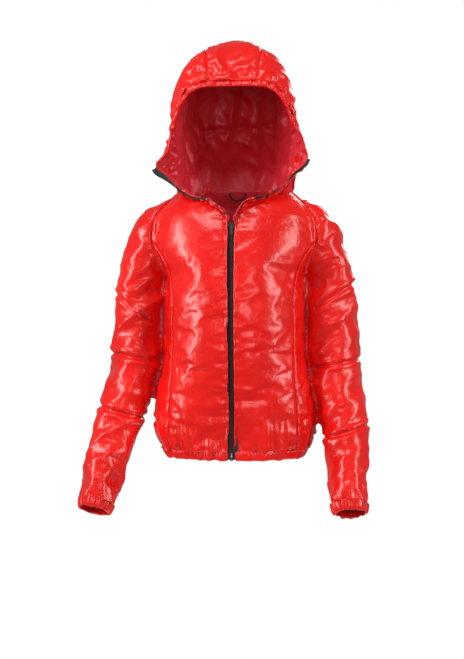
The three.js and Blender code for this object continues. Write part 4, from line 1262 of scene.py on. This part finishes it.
stitch_z = np.linspace(HEM_SEAM + 3, ZIP_TOP + 6, 260)
stitches = {"front_stitches": ("torso", [
    laid_on(np.stack([np.full(260, sign * STITCH_LINE), np.full(260, -FRONT - 6.0), stitch_z], 1),
            [panels["front_" + side]]) for side, (sign, _) in arms.items()])}
hem_guide = hem_line(HEM_SEAM - 3.5, 520) * (1.03, 1.03, 1)
stitches["hem_stitches"] = ("torso", [laid_on(hem_guide, [casings["hem_casing"]])])
for side in arms:
    ring = sleeve_ring(side, SLEEVE - CUFF + 3, 180, grow=3)
    stitches["cuff_stitches_" + side] = ("arm_" + side, [laid_on(np.concatenate([ring, ring[:1]]),
                                                                 [casings["cuff_casing_" + side]])])
brim_guide = even_line(resample(whole, 120, BRIM - 3.5)[0][shown], 300)
stitches["brim_stitches"] = ("hood", [laid_on(brim_guide + (0, -2, 2), [casings["brim_casing"]])])
rows_made = {name: (body, repeated(name, lines, stitch_tree, 3.4, STITCH, red_thread, 0.15))
             for name, (body, lines) in stitches.items()}

# %% [markdown]
# ## What moves with what
# Body cloth stays with the torso. The sleeves are meant to bend between torso and arm below the shoulder,
# and the hood and the collar flaps between torso and hood at the neck, but here these pieces are only
# baked in place, with no body and no blend.


def settle(piece, nodes, body="torso", blend=None):
    """Gives a piece its body, or only bakes its transform where a blend is named; hides the solids that it
    stands for.
    """
    if blend == "hood":
        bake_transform(piece)
    elif blend:
        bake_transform(piece)
    else:
        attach(piece, body)
    if nodes:
        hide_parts(*nodes)


settle(panels["back"], ["back", "wadding_back"])
settle(panels["hood_centre"], ["hood_centre", "wadding_hood"], blend="hood")
settle(linings["lining_body"], ["lining_back", "lining_front_left", "lining_front_right"])
settle(linings["lining_hood"], ["lining_hood"], blend="hood")
settle(casings["hem_casing"], ["hem_casing", "hem_elastic"])
settle(casings["brim_casing"], ["brim_casing", "brim_elastic"], body="hood")
for side in arms:
    settle(panels["front_" + side], ["front_" + side, "wadding_front_" + side])
    settle(panels["side_panel_" + side], ["side_panel_" + side])
    settle(panels["hood_side_" + side], ["hood_side_" + side], blend="hood")
    settle(panels["sleeve_" + side],
           [name + side for name in ("sleeve_", "sleeve_cap_", "wadding_sleeve_", "wadding_sleeve_cap_")],
           blend=side)
    settle(linings["lining_sleeve_" + side],
           ["lining_sleeve_" + side, "lining_sleeve_cap_" + side], blend=side)
    settle(casings["cuff_casing_" + side], ["cuff_casing_" + side, "cuff_elastic_" + side],
           body="arm_" + side)
    settle(flaps["flap_" + side], ["collar_flap_" + side], blend="hood")
    settle(flaps["flap_lining_" + side], ["collar_flap_lining_" + side], blend="hood")
    settle(zip_parts["zip_tape_" + side], ["zip_tape_" + side])
    settle(zip_parts["collar_zip_tape_" + side], ["collar_zip_tape_" + side], blend="hood")
    settle(zip_parts["zip_chain_" + side], ["zip_chain_" + side], blend="hood")
    settle(zip_parts["zip_top_stop_" + side], ["zip_top_stop_" + side], blend="hood")
for name in ("zip_retainer_box", "zip_pin"):
    settle(zip_parts[name], [name])
settle(slider, ["zip_slider"], body="slider")
settle(pull, ["zip_pull"], body="pull")
settle(wind_guard, ["wind_guard"])
settle(hanger, ["hanger_loop"])
for body, row in rows_made.values():
    settle(row, [], body=body)

# %% Padded pieces
for leftover in (skin, coarse, hood):
    bpy.data.objects.remove(leftover)
shown_pieces = [o for o in bpy.data.objects if o.type == "MESH" and not o.hide_render]
print(len(shown_pieces), "pieces,", sum(len(o.data.polygons) for o in shown_pieces), "faces")
